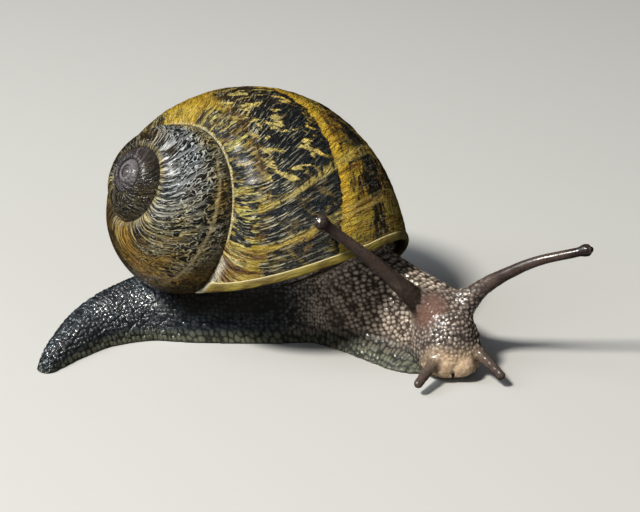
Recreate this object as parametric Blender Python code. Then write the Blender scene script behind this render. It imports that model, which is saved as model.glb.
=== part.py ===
"""A garden snail crawling on a level floor, life size, as a still museum model.

+X is the way the trunk faces, +Y its left side, +Z up, and the sole lies on z = 0. The shell is made in
its own frame, with the apex at the origin and the coiling axis along Z, and an empty sets it on the body.
Lengths are metres and angles radians, unless a name says otherwise.
"""

import math

import bmesh
import bpy
import numpy as np
from mathutils import Euler, Matrix, Vector

MM = 0.001
GAP = 0.3 * MM

# The shell grows by the turning angle theta: 0 is near the lip, and each earlier whorl lies 2 pi lower.
# One generating curve, drawn in the plane of the axis, is scaled up and slid down the axis as it turns.
SHELL_SCALE = 11.62 * MM
GROWTH_PER_RADIAN = 0.1203
GROWTH_BEND = 0.00046
CURVE_CENTRE = 1.041
CURVE_HALF_WIDTH = 0.419
CURVE_EGG = 0.31
CURVE_ABOVE = 1.166
CURVE_BELOW = 0.974
CURVE_TILT = 0.122
SPIRE_DROP = 1.874
SPIRE_DOME = 1.386
LIP_SINK = 0.066
LIP_SINK_FROM = -1.6
BASE_DIMPLE = 0.25
CORE_RADIUS = 0.3 * MM
PERIPHERY_SHARE = 0.74

# The lip crosses the growth at a slant: its angle follows the share of the way from the suture to the axis.
LIP_ANGLE = 0.6
LIP_ROOT = -1.087
LIP_SLANT = -3.223
LIP_CURVE = 3.177
LIP_WIDTH = 1.1 * MM
LIP_FLARE = 0.25 * MM
SHELL_WALL = 0.8 * MM

BODY_WHORL_SHARES = np.linspace(0, 1, 13)
FIRST_ANGLE = LIP_ANGLE - 2 * math.pi * 4.06
PENULTIMATE_FROM = LIP_ANGLE - 4 * math.pi
BODY_WHORL_FROM = LIP_ANGLE - 2 * math.pi
FIRST_SUTURE = FIRST_ANGLE + 2 * math.pi

SHELL_APEX = Vector((-17.65, -3.8, 19.0)) * MM
SHELL_TURN = Euler([math.radians(a) for a in (51.92, 28.67, -74.9)])

# The body from tail to head, in millimetres: plan position, half width of the sole, then half width and
# height of the back over it.
BODY_STATIONS = {
    "tail_tip": (-26.2, -9.65, 0.8, 0.55, 0.9),
    "tail_end": (-25.7, -8.15, 1.6, 1.15, 1.7),
    "tail_middle": (-24.4, -5.45, 2.3, 1.8, 2.7),
    "tail_root": (-21.7, -1.65, 3.4, 2.9, 3.9),
    "rear": (-16.8, 1.35, 4.7, 4.2, 5.2),
    "under_spire": (-10.7, 1.95, 5.7, 5.0, 8.0),
    "trunk": (-4.2, 2.05, 5.9, 5.2, 13.0),
    "trunk_front": (1.6, 1.75, 5.6, 4.9, 13.0),
    "shoulder": (6.4, -0.35, 6.1, 4.5, 9.4),
    "neck": (10.0, -3.15, 6.2, 3.7, 8.2),
    "nape": (12.4, -5.85, 5.6, 3.45, 7.9),
    "head": (13.6, -8.25, 4.2, 3.25, 7.2),
    "snout": (14.2, -10.25, 2.0, 2.9, 5.6),
    "face": (14.45, -11.65, 0.6, 2.1, 4.1),
}
SKIRT_HEIGHT = 1.7 * MM
RIM_HEIGHT = 0.5 * MM
HEAD_CLEARANCE = 0.45 * MM

# Tentacles: base inside the head, a knee, the tip, and the radii there, in millimetres.
UPPER_TENTACLES = {
    "right": (
        ((12.5, -6.65, 5.4), (9.3, -8.05, 8.5), (5.4, -9.25, 12.7), (1.5, -9.9, 16.2)),
        (1.05, 0.72, 0.5, 0.4),
    ),
    "left": (
        ((14.6, -6.25, 5.2), (17.3, -7.85, 8.7), (21.35, -9.55, 11.9), (26.1, -10.4, 13.6)),
        (1.35, 0.85, 0.5, 0.42),
    ),
}
LOWER_TENTACLES = {
    "right": (((13.2, -10.45, 2.9), (12.1, -11.85, 2.2), (10.6, -14.25, 1.3)), (0.8, 0.6, 0.45)),
    "left": (((15.6, -9.65, 3.3), (16.8, -10.85, 2.7), (18.7, -12.65, 1.35)), (0.8, 0.6, 0.45)),
}
MOUTH_LOBES = {"right": (13.15, -11.45, 1.75), "left": (15.1, -11.35, 1.75)}
MOUTH_LOBE_SIZE = Vector((1.2, 0.95, 1.05)) * MM
TENTACLE_LENGTHS = ("base", "middle", "tip")
BULB_RADIUS = 0.62 * MM
EYE_RADIUS = 0.27 * MM
EYE_SOCKET_GAP = 0.12 * MM

SHELL_COLOURS = {
    "apex": (0.12, 0.1, 0.1),
    "spire": (0.09, 0.065, 0.045),
    "body": (0.32, 0.22, 0.07),
    "lip": (0.62, 0.55, 0.34),
}
FLESH_COLOURS = {
    "tail": (0.07, 0.08, 0.1),
    "foot": (0.12, 0.11, 0.1),
    "neck": (0.2, 0.16, 0.13),
    "mouth": (0.55, 0.42, 0.3),
    "tentacle": (0.14, 0.1, 0.1),
    "eye": (0.01, 0.01, 0.012),
}


def clear_scene():
    for obj in list(bpy.data.objects):
        bpy.data.objects.remove(obj, do_unlink=True)


def new_collection(name):
    collection = bpy.data.collections.new(name)
    bpy.context.scene.collection.children.link(collection)
    return collection


def material(name, colour, roughness):
    made = bpy.data.materials.new(name)
    made.use_nodes = True
    shader = made.node_tree.nodes["Principled BSDF"]
    shader.inputs["Base Color"].default_value = (*colour, 1.0)
    shader.inputs["Roughness"].default_value = roughness
    shader.inputs["Metallic"].default_value = 0.0
    return made


def mesh_object(name, points, faces, collection, finish=None, parent=None):
    """An object of the given points and faces, with its faces turned outwards and shaded smooth."""
    points = np.asarray(points, float)
    volume = 0.0
    for face in faces:
        first = points[face[0]]
        for second, third in zip(face[1:-1], face[2:]):
            volume += float(np.dot(first, np.cross(points[second], points[third])))
    if volume < 0:
        faces = [tuple(reversed(face)) for face in faces]
    mesh = bpy.data.meshes.new(name)
    mesh.from_pydata([tuple(p) for p in points], [], faces)
    mesh.validate()
    obj = bpy.data.objects.new(name, mesh)
    collection.objects.link(obj)
    obj.parent = parent
    if finish:
        mesh.materials.append(finish)
        mesh.shade_smooth()
        mesh.set_sharp_from_angle(angle=math.radians(40))
    return obj


def hide_cutter(obj):
    obj.hide_render = True
    obj.display_type = "WIRE"


def subtract(obj, cutter):
    cut = obj.modifiers.new("cut_" + cutter.name, "BOOLEAN")
    cut.operation = "DIFFERENCE"
    cut.object = cutter


# ---------------------------------------------------------------- shell geometry


def shell_scale(theta):
    return SHELL_SCALE * np.exp(GROWTH_PER_RADIAN * theta + GROWTH_BEND * theta * theta)


def axial_place(theta):
    """How far down the axis the generating curve sits. The last part of the whorl sinks towards the lip."""
    scale = shell_scale(theta)
    sunk = np.clip((theta - LIP_SINK_FROM) / -LIP_SINK_FROM, 0, 2)
    return -SPIRE_DROP * SHELL_SCALE * (scale / SHELL_SCALE) ** SPIRE_DOME - LIP_SINK * sunk**2 * scale


def generating_curve(turn):
    """(distance from the axis, height) at unit size: turn is 0 at the periphery and pi / 2 at the top."""
    across = CURVE_HALF_WIDTH * (np.cos(turn) + CURVE_EGG * np.cos(2 * turn))
    up = np.where(np.sin(turn) >= 0, CURVE_ABOVE, CURVE_BELOW) * np.sin(turn)
    radius = CURVE_CENTRE + across * math.cos(CURVE_TILT) - up * math.sin(CURVE_TILT)
    return radius, across * math.sin(CURVE_TILT) + up * math.cos(CURVE_TILT)


def section_point(theta, share, suture_turn):
    """(r, z) on the whorl's outside: share is 0 at the suture, and 1 at the axis on the base."""
    theta, share = np.broadcast_arrays(np.asarray(theta, float), np.asarray(share, float))
    round_share = np.clip(share / PERIPHERY_SHARE, 0, 1)
    radius, height = generating_curve(suture_turn - (suture_turn + math.pi / 2) * round_share)
    inward = np.clip((share - PERIPHERY_SHARE) / (1 - PERIPHERY_SHARE), 0, 1)
    scale = shell_scale(theta)
    radius = scale * radius * (1 - inward) + CORE_RADIUS * inward
    dimple = BASE_DIMPLE * (1 - np.cos(inward * math.pi / 2))
    return radius, scale * (height + dimple) + axial_place(theta)


def section_normal(theta, share, suture_turn):
    step = 0.004
    ahead = section_point(theta, np.minimum(share + step, 1), suture_turn)
    behind = section_point(theta, np.maximum(share - step, 0), suture_turn)
    along = np.stack([ahead[0] - behind[0], ahead[1] - behind[1]])
    along /= np.linalg.norm(along, axis=0) + 1e-12
    return -along[1], along[0]


class Sutures:
    """Where each whorl meets the one before it, as tables of the turning angle."""

    FLAT_TOP = math.pi / 2
    FARTHEST_TURN = 2.6

    def __init__(self):
        self.angles = np.linspace(FIRST_ANGLE, LIP_ANGLE + 0.2, 260)
        self.turns = np.full(len(self.angles), self.FLAT_TOP)
        self.shares = np.zeros(len(self.angles))
        for index, theta in enumerate(self.angles):
            if theta >= FIRST_SUTURE:
                self.turns[index], self.shares[index] = self.meeting(theta)

    def meeting(self, theta):
        """The turn at which this whorl comes within the gap of the last, and the share reached on that."""
        shares = np.linspace(0, 1, 161)
        before = theta - 2 * math.pi
        old = np.stack(section_point(before, shares, self.turn(before)), axis=1)
        turns = np.linspace(0, self.FARTHEST_TURN, 261)
        radius, height = generating_curve(turns)
        scale = shell_scale(theta)
        new = np.stack([radius * scale, height * scale + axial_place(theta)], axis=1)
        distance = np.linalg.norm(new[:, None] - old[None], axis=2)
        near = distance.min(axis=1) < suture_gap(theta)
        first = int(np.argmax(near)) if near.any() else int(np.argmin(distance.min(axis=1)))
        return turns[first], shares[int(np.argmin(distance[first]))]

    def turn(self, theta):
        return np.interp(theta, self.angles, self.turns)

    def share_on_last(self, theta):
        return np.interp(theta, self.angles, self.shares)


def suture_gap(theta):
    """The gap between whorls: the full one round the last whorls, and finer within the apex."""
    return GAP if theta >= PENULTIMATE_FROM else 0.4 * GAP


def lip_angle(share):
    return LIP_ANGLE + LIP_ROOT * np.sqrt(share) + LIP_SLANT * share + LIP_CURVE * share**2


def growth_speed(theta, share, sutures):
    """Distance travelled per radian of growth."""
    step = 0.02
    r0, z0 = section_point(theta - step, share, sutures.turn(theta - step))
    r1, z1 = section_point(theta + step, share, sutures.turn(theta + step))
    return np.sqrt(((r0 + r1) / 2) ** 2 + ((r1 - r0) / (2 * step)) ** 2 + ((z1 - z0) / (2 * step)) ** 2)


def shell_point(theta, radius, height):
    """The shell winds to the right: seen from the apex it grows clockwise."""
    return np.stack([radius * np.cos(theta), -radius * np.sin(theta), height], axis=-1)


def outer_path(theta, shares, sutures, offset=0.0):
    turn = sutures.turn(theta)
    radius, height = section_point(theta, shares, turn)
    out, up = section_normal(theta, shares, turn)
    return shell_point(theta, np.maximum(radius + offset * out, CORE_RADIUS), height + offset * up)


def inner_path(theta, shares, sutures, offset=0.0):
    """From the suture along the last whorl's outside to its core, and down to this whorl's base."""
    before = theta - 2 * math.pi
    radius, height = section_point(theta, np.ones_like(theta), sutures.turn(theta))
    if theta.min() < FIRST_SUTURE:
        top = section_point(theta, np.zeros_like(theta), sutures.turn(theta))[1]
        return shell_point(theta, radius, top + (height - top) * shares)
    on_last = np.clip(shares / 0.8, 0, 1)
    start = sutures.share_on_last(theta)
    reached = start + (1 - start) * on_last
    old_radius, old_height = section_point(before, reached, sutures.turn(before))
    out, up = section_normal(before, reached, sutures.turn(before))
    lift = np.where(theta >= PENULTIMATE_FROM, GAP, 0.4 * GAP) + offset
    old_radius = np.maximum(old_radius + lift * out, CORE_RADIUS)
    old_height = old_height + lift * up
    down = np.clip((shares - 0.8) / 0.2, 0, 1)
    return shell_point(theta, old_radius, old_height + (height - old_height) * down)


def whorl_ring(angle_at, shares, sutures, outward=0.0, inward=0.0):
    """One closed ring of the whorl: out along its outside, back along its inside, which share their ends."""
    angles = angle_at(shares)
    middle = shares[1:-1]
    fade = np.minimum(1, np.minimum(shares, 1 - shares) / 0.12)
    out = outer_path(angles, shares, sutures, outward * fade)
    back_angles = angles[0] + (angles[-1] - angles[0]) * middle
    back = inner_path(back_angles, middle, sutures, inward * fade[1:-1])
    return np.concatenate([out, back[::-1]])


def ring_faces(ring_count, ring_size, rungs):
    """Quads from ring to ring, and a ladder of faces over each end, rung by rung."""
    faces = []
    for ring in range(ring_count - 1):
        for corner in range(ring_size):
            beside = (corner + 1) % ring_size
            base, above = ring * ring_size, (ring + 1) * ring_size
            faces.append((base + corner, base + beside, above + beside, above + corner))
    for base, turned in ((0, True), ((ring_count - 1) * ring_size, False)):
        for rung in range(rungs - 1):
            low, high = rung, rung + 1
            far_low, far_high = (ring_size - low) % ring_size, (ring_size - high) % ring_size
            corners = [base + c for c in dict.fromkeys((low, high, far_high, far_low))]
            faces.append(tuple(reversed(corners)) if turned else tuple(corners))
    return faces


def whorl_solid(name, rings, shares, collection, finish=None, parent=None):
    faces = ring_faces(len(rings), len(rings[0]), len(shares))
    return mesh_object(name, np.concatenate(rings), faces, collection, finish, parent)


def body_edge(shares, sutures, past_lip=0.0):
    """The angle where the body whorl ends under the lip, or a stated distance past it."""
    lip = lip_angle(shares)
    return lip + past_lip / growth_speed(lip, shares, sutures)


def make_shell(sutures, shell, cutters, parent):
    shares = np.linspace(0, 1, 9)
    rings = [
        whorl_ring(lambda s, a=angle: np.full_like(s, a), shares, sutures)
        for angle in np.linspace(FIRST_ANGLE, PENULTIMATE_FROM, 34)
    ]
    apex = material("apex", SHELL_COLOURS["apex"], 0.3)
    whorl_solid("shell_apex", rings, shares, shell, apex, parent)

    shares = np.linspace(0, 1, 11)
    cut = GAP / (0.5 * shell_scale(BODY_WHORL_FROM))
    rings = [
        whorl_ring(lambda s, a=angle: np.full_like(s, a), shares, sutures)
        for angle in np.linspace(PENULTIMATE_FROM + 2 * cut, BODY_WHORL_FROM - cut, 33)
    ]
    spire = material("spire", SHELL_COLOURS["spire"], 0.35)
    whorl_solid("shell_penultimate_whorl", rings, shares, shell, spire, parent)

    shares = BODY_WHORL_SHARES
    edge = body_edge(shares, sutures, -LIP_WIDTH - GAP)

    def angle_at(grown):
        return lambda s: BODY_WHORL_FROM + (edge - BODY_WHORL_FROM) * grown

    rings = [whorl_ring(angle_at(g), shares, sutures) for g in np.linspace(0, 1, 41)]
    body = material("body_whorl", SHELL_COLOURS["body"], 0.3)
    whorl_solid("shell_body_whorl", rings, shares, shell, body, parent)
    make_lip(sutures, shell, parent)

    covers = []
    wide = np.linspace(0, 1, 13)
    end = body_edge(wide, sutures, GAP)
    rings = [
        whorl_ring(
            lambda s, g=grown: BODY_WHORL_FROM + (end - BODY_WHORL_FROM) * g,
            wide,
            sutures,
            GAP + LIP_FLARE,
        )
        for grown in np.linspace(0, 1, 32)
    ]
    covers.append(whorl_solid("cover_body_whorl", rings, wide, cutters, parent=parent))
    rings = [
        whorl_ring(lambda s, a=angle: np.full_like(s, a), wide, sutures, GAP + LIP_FLARE)
        for angle in np.linspace(BODY_WHORL_FROM - 3.4, BODY_WHORL_FROM + 0.4, 18)
    ]
    covers.append(whorl_solid("cover_penultimate", rings, wide, cutters, parent=parent))
    for cover in covers:
        hide_cutter(cover)
    return covers


def make_lip(sutures, shell, parent):
    """The thickened edge of the mouth: a bar that runs from the suture round to the columella."""
    shares = np.linspace(0.03, 0.97, 34)
    profile = ((-1, 0.0), (-0.45, 1.0), (0, 0.35), (0, -1.0), (-1, -0.9))
    rings = []
    for across, out in profile:
        angle = body_edge(shares, sutures, across * LIP_WIDTH)
        fade = np.minimum(1, np.minimum(shares - 0.02, 0.98 - shares) / 0.12)
        offset = out * (LIP_FLARE if out > 0 else SHELL_WALL) * fade
        rings.append(outer_path(angle, shares, sutures, offset))
    corners, stations = len(profile), len(shares)
    points = np.stack(rings, axis=1).reshape(-1, 3)
    faces = [tuple(range(corners)), tuple(range(corners * (stations - 1), corners * stations))[::-1]]
    for station in range(stations - 1):
        for corner in range(corners):
            beside = (corner + 1) % corners
            low, high = station * corners, (station + 1) * corners
            faces.append((low + beside, low + corner, high + corner, high + beside))
    mesh_object("shell_lip", points, faces, shell, material("lip", SHELL_COLOURS["lip"], 0.35), parent)


# ---------------------------------------------------------------- body


def smooth_table(rows, count):
    """Rows read from a Catmull-Rom curve through the stations, at evenly spread places along it."""
    rows = np.asarray(rows, float)
    padded = np.vstack([2 * rows[0] - rows[1], rows, 2 * rows[-1] - rows[-2]])
    places = np.linspace(0, len(rows) - 1, count)
    first = np.minimum(places.astype(int), len(rows) - 2)
    t = (places - first)[:, None]
    p0, p1, p2, p3 = (padded[first + k] for k in range(4))
    return 0.5 * (
        2 * p1 + (p2 - p0) * t + (2 * p0 - 5 * p1 + 4 * p2 - p3) * t**2 + (3 * p1 - p0 - 3 * p2 + p3) * t**3
    )


class Body:
    """Cross-sections of the body along its bent middle line. A place is counted in stations from the tail."""

    NAMES = list(BODY_STATIONS)
    SAMPLES = 40

    def __init__(self):
        steps = (len(self.NAMES) - 1) * self.SAMPLES + 1
        table = smooth_table(list(BODY_STATIONS.values()), steps) * MM
        self.places = np.linspace(0, len(self.NAMES) - 1, steps)
        self.table = table
        heading = np.gradient(table[:, :2], axis=0)
        heading /= np.linalg.norm(heading, axis=1)[:, None]
        self.left = np.stack([-heading[:, 1], heading[:, 0]], axis=1)
        self.along = np.concatenate([[0], np.cumsum(np.linalg.norm(np.diff(table[:, :2], axis=0), axis=1))])

    def place(self, name):
        return float(np.interp(self.NAMES.index(name), self.places, self.along))

    def at(self, along):
        values = [np.interp(along, self.along, column) for column in self.table.T]
        left = [np.interp(along, self.along, column) for column in self.left.T]
        return values, Vector((*left, 0)).normalized()

    def ring(self, along, profile, grow=0.0):
        (x, y, sole, back, height), left = self.at(along)
        middle = Vector((x, y, 0))
        return [tuple(middle + left * u + Vector((0, 0, z))) for u, z in profile(sole, back, height, grow)]

    def solid(self, name, start, end, count, profile, collection, finish=None, grow=0.0, taper=0.0):
        """A loft of rings from one place to another; its ends are flat unless the front is tapered."""
        rings = []
        for step in np.linspace(0, 1, count):
            rings.append(self.ring(start + (end - start) * step, profile, grow))
        if taper:
            rings.append(self.nose(rings[-1], end, taper))
        size = len(rings[0])
        faces = [tuple(reversed(range(size))), tuple(range((len(rings) - 1) * size, len(rings) * size))]
        for low in range(0, (len(rings) - 1) * size, size):
            for corner in range(size):
                beside = (corner + 1) % size
                faces.append((low + corner, low + beside, low + size + beside, low + size + corner))
        return mesh_object(name, np.concatenate(rings), faces, collection, finish)

    def nose(self, ring, end, reach):
        """The last ring drawn in and pushed forward, for a rounded end."""
        left = self.at(end)[1]
        forward = Vector((left.y, -left.x, 0))
        centre = sum((Vector(p) for p in ring), Vector()) / len(ring)
        return [tuple(centre + (Vector(p) - centre) * 0.62 + forward * reach) for p in ring]


def dome(half_width, low, high, count, boxy=0.72):
    """Points over the back from its right side to its left."""
    angles = np.linspace(0, math.pi, count)
    across = -np.sign(np.cos(angles)) * np.abs(np.cos(angles)) ** boxy * half_width
    up = low + (high - low) * np.sin(angles) ** boxy
    return list(zip(across, up))


def skirt_profile(sole, back, height, grow):
    """The foot: a flat sole, a thin rim and a top on which the back rests."""
    side = sole + grow
    top = min(SKIRT_HEIGHT, 0.55 * height) + grow
    shoulder = min(back, side - 0.5 * MM)
    floor = 0.0 if grow == 0 else -grow
    return [
        (side - 0.3 * MM, floor),
        (0.0, floor),
        (-side + 0.3 * MM, floor),
        (-side, RIM_HEIGHT),
        (-0.5 * (side + shoulder), 0.72 * top),
        (-shoulder, top),
        (shoulder, top),
        (0.5 * (side + shoulder), 0.72 * top),
        (side, RIM_HEIGHT),
    ]


def back_profile(sole, back, height, grow):
    low = SKIRT_HEIGHT + GAP
    return [(back, low), *reversed(dome(back, low + 0.4 * MM, height, 11)), (-back, low)][::-1]


def tail_profile(sole, back, height, grow):
    side = skirt_profile(sole, back, height, grow)
    top = min(SKIRT_HEIGHT, 0.55 * height)
    over = dome(min(back, sole - 0.5 * MM), top, height, 11)
    return [*side[:5], *over, *side[7:]]


def head_profile(sole, back, height, grow):
    low = HEAD_CLEARANCE
    under = [(-0.72 * back, low), (0.72 * back, low), (0.93 * back, low + 0.35 * MM)]
    over = dome(back, low + 1.0 * MM, height, 11, 0.8)
    return [(-0.93 * back, low + 0.35 * MM), *under, *reversed(over)]


def make_body(collection, cutters, covers):
    body = Body()
    tail = material("tail", FLESH_COLOURS["tail"], 0.3)
    foot = material("foot", FLESH_COLOURS["foot"], 0.35)
    neck = material("neck", FLESH_COLOURS["neck"], 0.35)
    half = GAP / 2
    rear, middle = body.place("rear"), body.place("trunk")
    front, nape = body.place("shoulder"), body.place("nape")
    neck_end = body.place("neck") + 0.9 * MM
    skirt_end = body.place("head") - 0.6 * MM

    solids = [body.solid("tail", 0.25 * MM, rear - half, 15, tail_profile, collection, tail)]
    for name, start, end, count in (
        ("foot_rear", rear, middle, 10),
        ("foot_middle", middle, front, 9),
        ("foot_front", front, skirt_end + half, 10),
    ):
        body.solid(name, start + half, end - half, count, skirt_profile, collection, foot)
    trunk_end = front
    solids.append(body.solid("trunk", rear + half, trunk_end - half, 14, back_profile, collection, neck))
    solids.append(body.solid("neck", trunk_end + half, neck_end - half, 8, back_profile, collection, neck))
    head = body.solid(
        "head",
        neck_end + half,
        body.place("face") - 0.5 * MM,
        11,
        head_profile,
        collection,
        neck,
        taper=0.45 * MM,
    )
    under_head = body.solid(
        "cover_foot_front", nape - 4 * MM, skirt_end + GAP, 8, skirt_profile, cutters, grow=GAP
    )
    hide_cutter(under_head)
    subtract(head, under_head)
    for solid in solids:
        for cover in covers:
            subtract(solid, cover)
    return head


# ---------------------------------------------------------------- tentacles, eyes and mouth


def tentacle_route(corners, radii, count=15):
    """Points and radii along a smooth bend through the base, the knee and the tip, in metres."""
    rows = [(*corner, radius) for corner, radius in zip(corners, radii)]
    table = smooth_table(rows, count) * MM
    return [Vector(row[:3]) for row in table], [row[3] for row in table]


def tube(name, points, radii, collection, finish=None, sides=2):
    """A tapered tube with filled ends, made from a curve and turned into a mesh."""
    curve = bpy.data.curves.new(name, "CURVE")
    curve.dimensions = "3D"
    curve.bevel_depth = 1.0
    curve.bevel_resolution = sides
    curve.use_fill_caps = True
    spline = curve.splines.new("POLY")
    spline.points.add(len(points) - 1)
    for place, point, radius in zip(spline.points, points, radii):
        place.co = (*point, 1.0)
        place.radius = radius
    source = bpy.data.objects.new(name + "_curve", curve)
    collection.objects.link(source)
    bpy.context.view_layer.update()
    graph = bpy.context.evaluated_depsgraph_get()
    raw = bpy.data.meshes.new_from_object(source.evaluated_get(graph))
    points = [tuple(v.co) for v in raw.vertices]
    keep, index = {}, []
    for point in points:
        key = tuple(round(c / 1e-7) for c in point)
        index.append(keep.setdefault(key, len(keep)))
    welded = [tuple(c * 1e-7 for c in key) for key in keep]
    faces = [tuple(index[v] for v in polygon.vertices) for polygon in raw.polygons]
    bpy.data.objects.remove(source, do_unlink=True)
    return mesh_object(name, welded, faces, collection, finish)


def ball(name, centre, radius, collection, finish=None, segments=8, rings=6):
    mesh = bpy.data.meshes.new(name)
    shape = bmesh.new()
    bmesh.ops.create_uvsphere(shape, u_segments=segments, v_segments=rings, radius=radius)
    shape.to_mesh(mesh)
    shape.free()
    obj = bpy.data.objects.new(name, mesh)
    obj.location = centre
    collection.objects.link(obj)
    if finish:
        mesh.materials.append(finish)
        mesh.shade_smooth()
    return obj


def part_ends(points, radii, low, high):
    """The stretch of a route between two shares of its length, with its ends in from them by half a gap."""
    lengths = np.concatenate([[0], np.cumsum([(b - a).length for a, b in zip(points, points[1:])])])
    start = low * lengths[-1] + (GAP / 2 if low > 0 else 0)
    end = high * lengths[-1] - (GAP / 2 if high < 1 else 0)
    places = np.linspace(start, end, 6)
    columns = np.array([[*p, r] for p, r in zip(points, radii)]).T
    table = np.array([np.interp(places, lengths, column) for column in columns]).T
    return [Vector(row[:3]) for row in table], [row[3] for row in table]


def make_upper_tentacle(side, collection, cutters, head, skin, black):
    points, radii = tentacle_route(*UPPER_TENTACLES[side])
    socket = tube(f"socket_upper_{side}", points, [r + GAP for r in radii], cutters)
    hide_cutter(socket)
    subtract(head, socket)
    cuts = (0.1, 0.42, 0.72, 1.0)
    for name, low, high in zip(TENTACLE_LENGTHS, cuts, cuts[1:]):
        part, widths = part_ends(points, radii, low, high)
        if name == "tip":
            onward = (points[-1] - points[-2]).normalized()
            swell = ((0.55, 0.86), (1.0, 1.0), (1.45, 0.9), (1.8, 0.62), (2.0, 0.3))
            part += [points[-1] + onward * BULB_RADIUS * (along - 0.35) for along, _ in swell]
            widths += [BULB_RADIUS * width for _, width in swell]
        length = tube(f"tentacle_{side}_{name}", part, widths, collection, skin)
        if name == "tip":
            seat = part[-2]
    eye_centre = seat
    ball(f"eye_{side}", eye_centre, EYE_RADIUS, collection, black)
    socket = ball(f"socket_eye_{side}", eye_centre, EYE_RADIUS + EYE_SOCKET_GAP, cutters)
    hide_cutter(socket)
    subtract(length, socket)


def make_lower_tentacle(side, collection, cutters, head, mouth, skin):
    points, radii = tentacle_route(*LOWER_TENTACLES[side], count=8)
    socket = tube(f"socket_lower_{side}", points, [r + GAP for r in radii], cutters)
    hide_cutter(socket)
    subtract(head, socket)
    subtract(mouth, socket)
    onward = (points[-1] - points[-2]).normalized()
    points.append(points[-1] + onward * radii[-1] * 0.6)
    radii.append(radii[-1] * 0.6)
    tube(f"tentacle_lower_{side}", points[1:], radii[1:], collection, skin)


def make_mouth(collection, cutters, head):
    """The pale upper lip: two lobes joined into one, in a hollow of the head."""
    lobes = []
    for side, centre in MOUTH_LOBES.items():
        for name, group, grow in ((f"lobe_{side}", cutters, 0.0), (f"cover_lobe_{side}", cutters, GAP)):
            lobe = ball(name, Vector(centre) * MM, 1.0, group, segments=12, rings=8)
            size = MOUTH_LOBE_SIZE + Vector((grow, grow, grow))
            lobe.data.transform(Matrix.Diagonal((*size, 1.0)))
            hide_cutter(lobe)
            lobes.append(lobe)
    subtract(head, lobes[1])
    subtract(head, lobes[3])
    mouth = bpy.data.objects.new("mouth", lobes[0].data.copy())
    mouth.location = lobes[0].location
    mouth.data.materials.append(material("mouth", FLESH_COLOURS["mouth"], 0.35))
    mouth.data.shade_smooth()
    collection.objects.link(mouth)
    joined = mouth.modifiers.new("join_lobes", "BOOLEAN")
    joined.operation = "UNION"
    joined.object = lobes[2]
    return mouth


def main():
    clear_scene()
    snail = new_collection("garden_snail")
    cutters = new_collection("cutters")
    placing = bpy.data.objects.new("shell_axis", None)
    placing.location = SHELL_APEX
    placing.rotation_euler = SHELL_TURN
    snail.objects.link(placing)
    sutures = Sutures()
    covers = make_shell(sutures, snail, cutters, placing)
    head = make_body(snail, cutters, covers)
    mouth = make_mouth(snail, cutters, head)
    skin = material("tentacle", FLESH_COLOURS["tentacle"], 0.3)
    black = material("eye", FLESH_COLOURS["eye"], 0.1)
    for side in ("right", "left"):
        make_upper_tentacle(side, snail, cutters, head, skin, black)
        make_lower_tentacle(side, snail, cutters, head, mouth, skin)


main()
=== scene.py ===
"""The looks of the garden snail: its shell, one skin over the flesh, the eyes, the floor and the light.

Every shape is in metres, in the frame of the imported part. Helper functions that make shapes work in
millimetres and say so. The shell is grown from the same curves as the part's solids, and the skin is drawn
over the same stations and tentacle routes.
"""

import math

import bpy
import numpy as np
from mathutils import Euler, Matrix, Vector


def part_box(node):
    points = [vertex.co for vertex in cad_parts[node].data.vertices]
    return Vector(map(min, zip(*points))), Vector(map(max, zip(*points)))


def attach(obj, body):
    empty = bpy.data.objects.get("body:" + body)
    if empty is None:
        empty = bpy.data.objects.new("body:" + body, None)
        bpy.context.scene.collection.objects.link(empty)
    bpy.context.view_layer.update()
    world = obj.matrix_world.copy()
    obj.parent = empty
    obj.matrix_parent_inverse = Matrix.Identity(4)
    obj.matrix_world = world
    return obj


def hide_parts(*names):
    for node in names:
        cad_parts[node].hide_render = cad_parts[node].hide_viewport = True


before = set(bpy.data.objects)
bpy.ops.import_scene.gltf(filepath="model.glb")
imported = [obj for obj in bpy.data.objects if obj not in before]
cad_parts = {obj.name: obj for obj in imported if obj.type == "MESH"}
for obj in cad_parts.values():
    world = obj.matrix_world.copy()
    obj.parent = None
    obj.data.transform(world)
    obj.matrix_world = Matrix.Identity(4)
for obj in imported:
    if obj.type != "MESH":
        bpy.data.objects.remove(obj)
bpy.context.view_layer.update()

MM = 0.001

# ---------------------------------------------------------------- sizes shared with the part's solids, in mm

SHELL_SCALE = 11.62
GROWTH_PER_RADIAN = 0.1203
GROWTH_BEND = 0.00046
CURVE_CENTRE = 1.041
CURVE_HALF_WIDTH = 0.419
CURVE_EGG = 0.31
CURVE_ABOVE = 1.166
CURVE_BELOW = 0.974
CURVE_TILT = 0.122
SPIRE_DROP = 1.874
SPIRE_DOME = 1.386
LIP_SINK = 0.066
LIP_SINK_FROM = -1.6
BASE_DIMPLE = 0.25
CORE_RADIUS = 0.3
PERIPHERY_SHARE = 0.74
LIP_ANGLE = 0.6
LIP_ROOT = -1.087
LIP_SLANT = -3.223
LIP_CURVE = 3.177
SHELL_APEX = np.array((-17.65, -3.8, 19.0))
SHELL_TURN = Euler([math.radians(a) for a in (51.92, 28.67, -74.9)])

FIRST_ANGLE = LIP_ANGLE - 2 * math.pi * 5.2
FIRST_SUTURE = FIRST_ANGLE + 2 * math.pi
BODY_WHORL_FROM = LIP_ANGLE - 2 * math.pi
SUTURE_GAP = 0.05
GROWTH_STRAIGHT_TO = 0.13
GROWTH_BEND_WIDTH = 0.03
NUCLEUS_SIZE = (0.5, 0.42)
# The spacing of the grids that the skin is drawn on.
SKIN_GRID = 0.235
COARSE_GRID = 1.1
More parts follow.
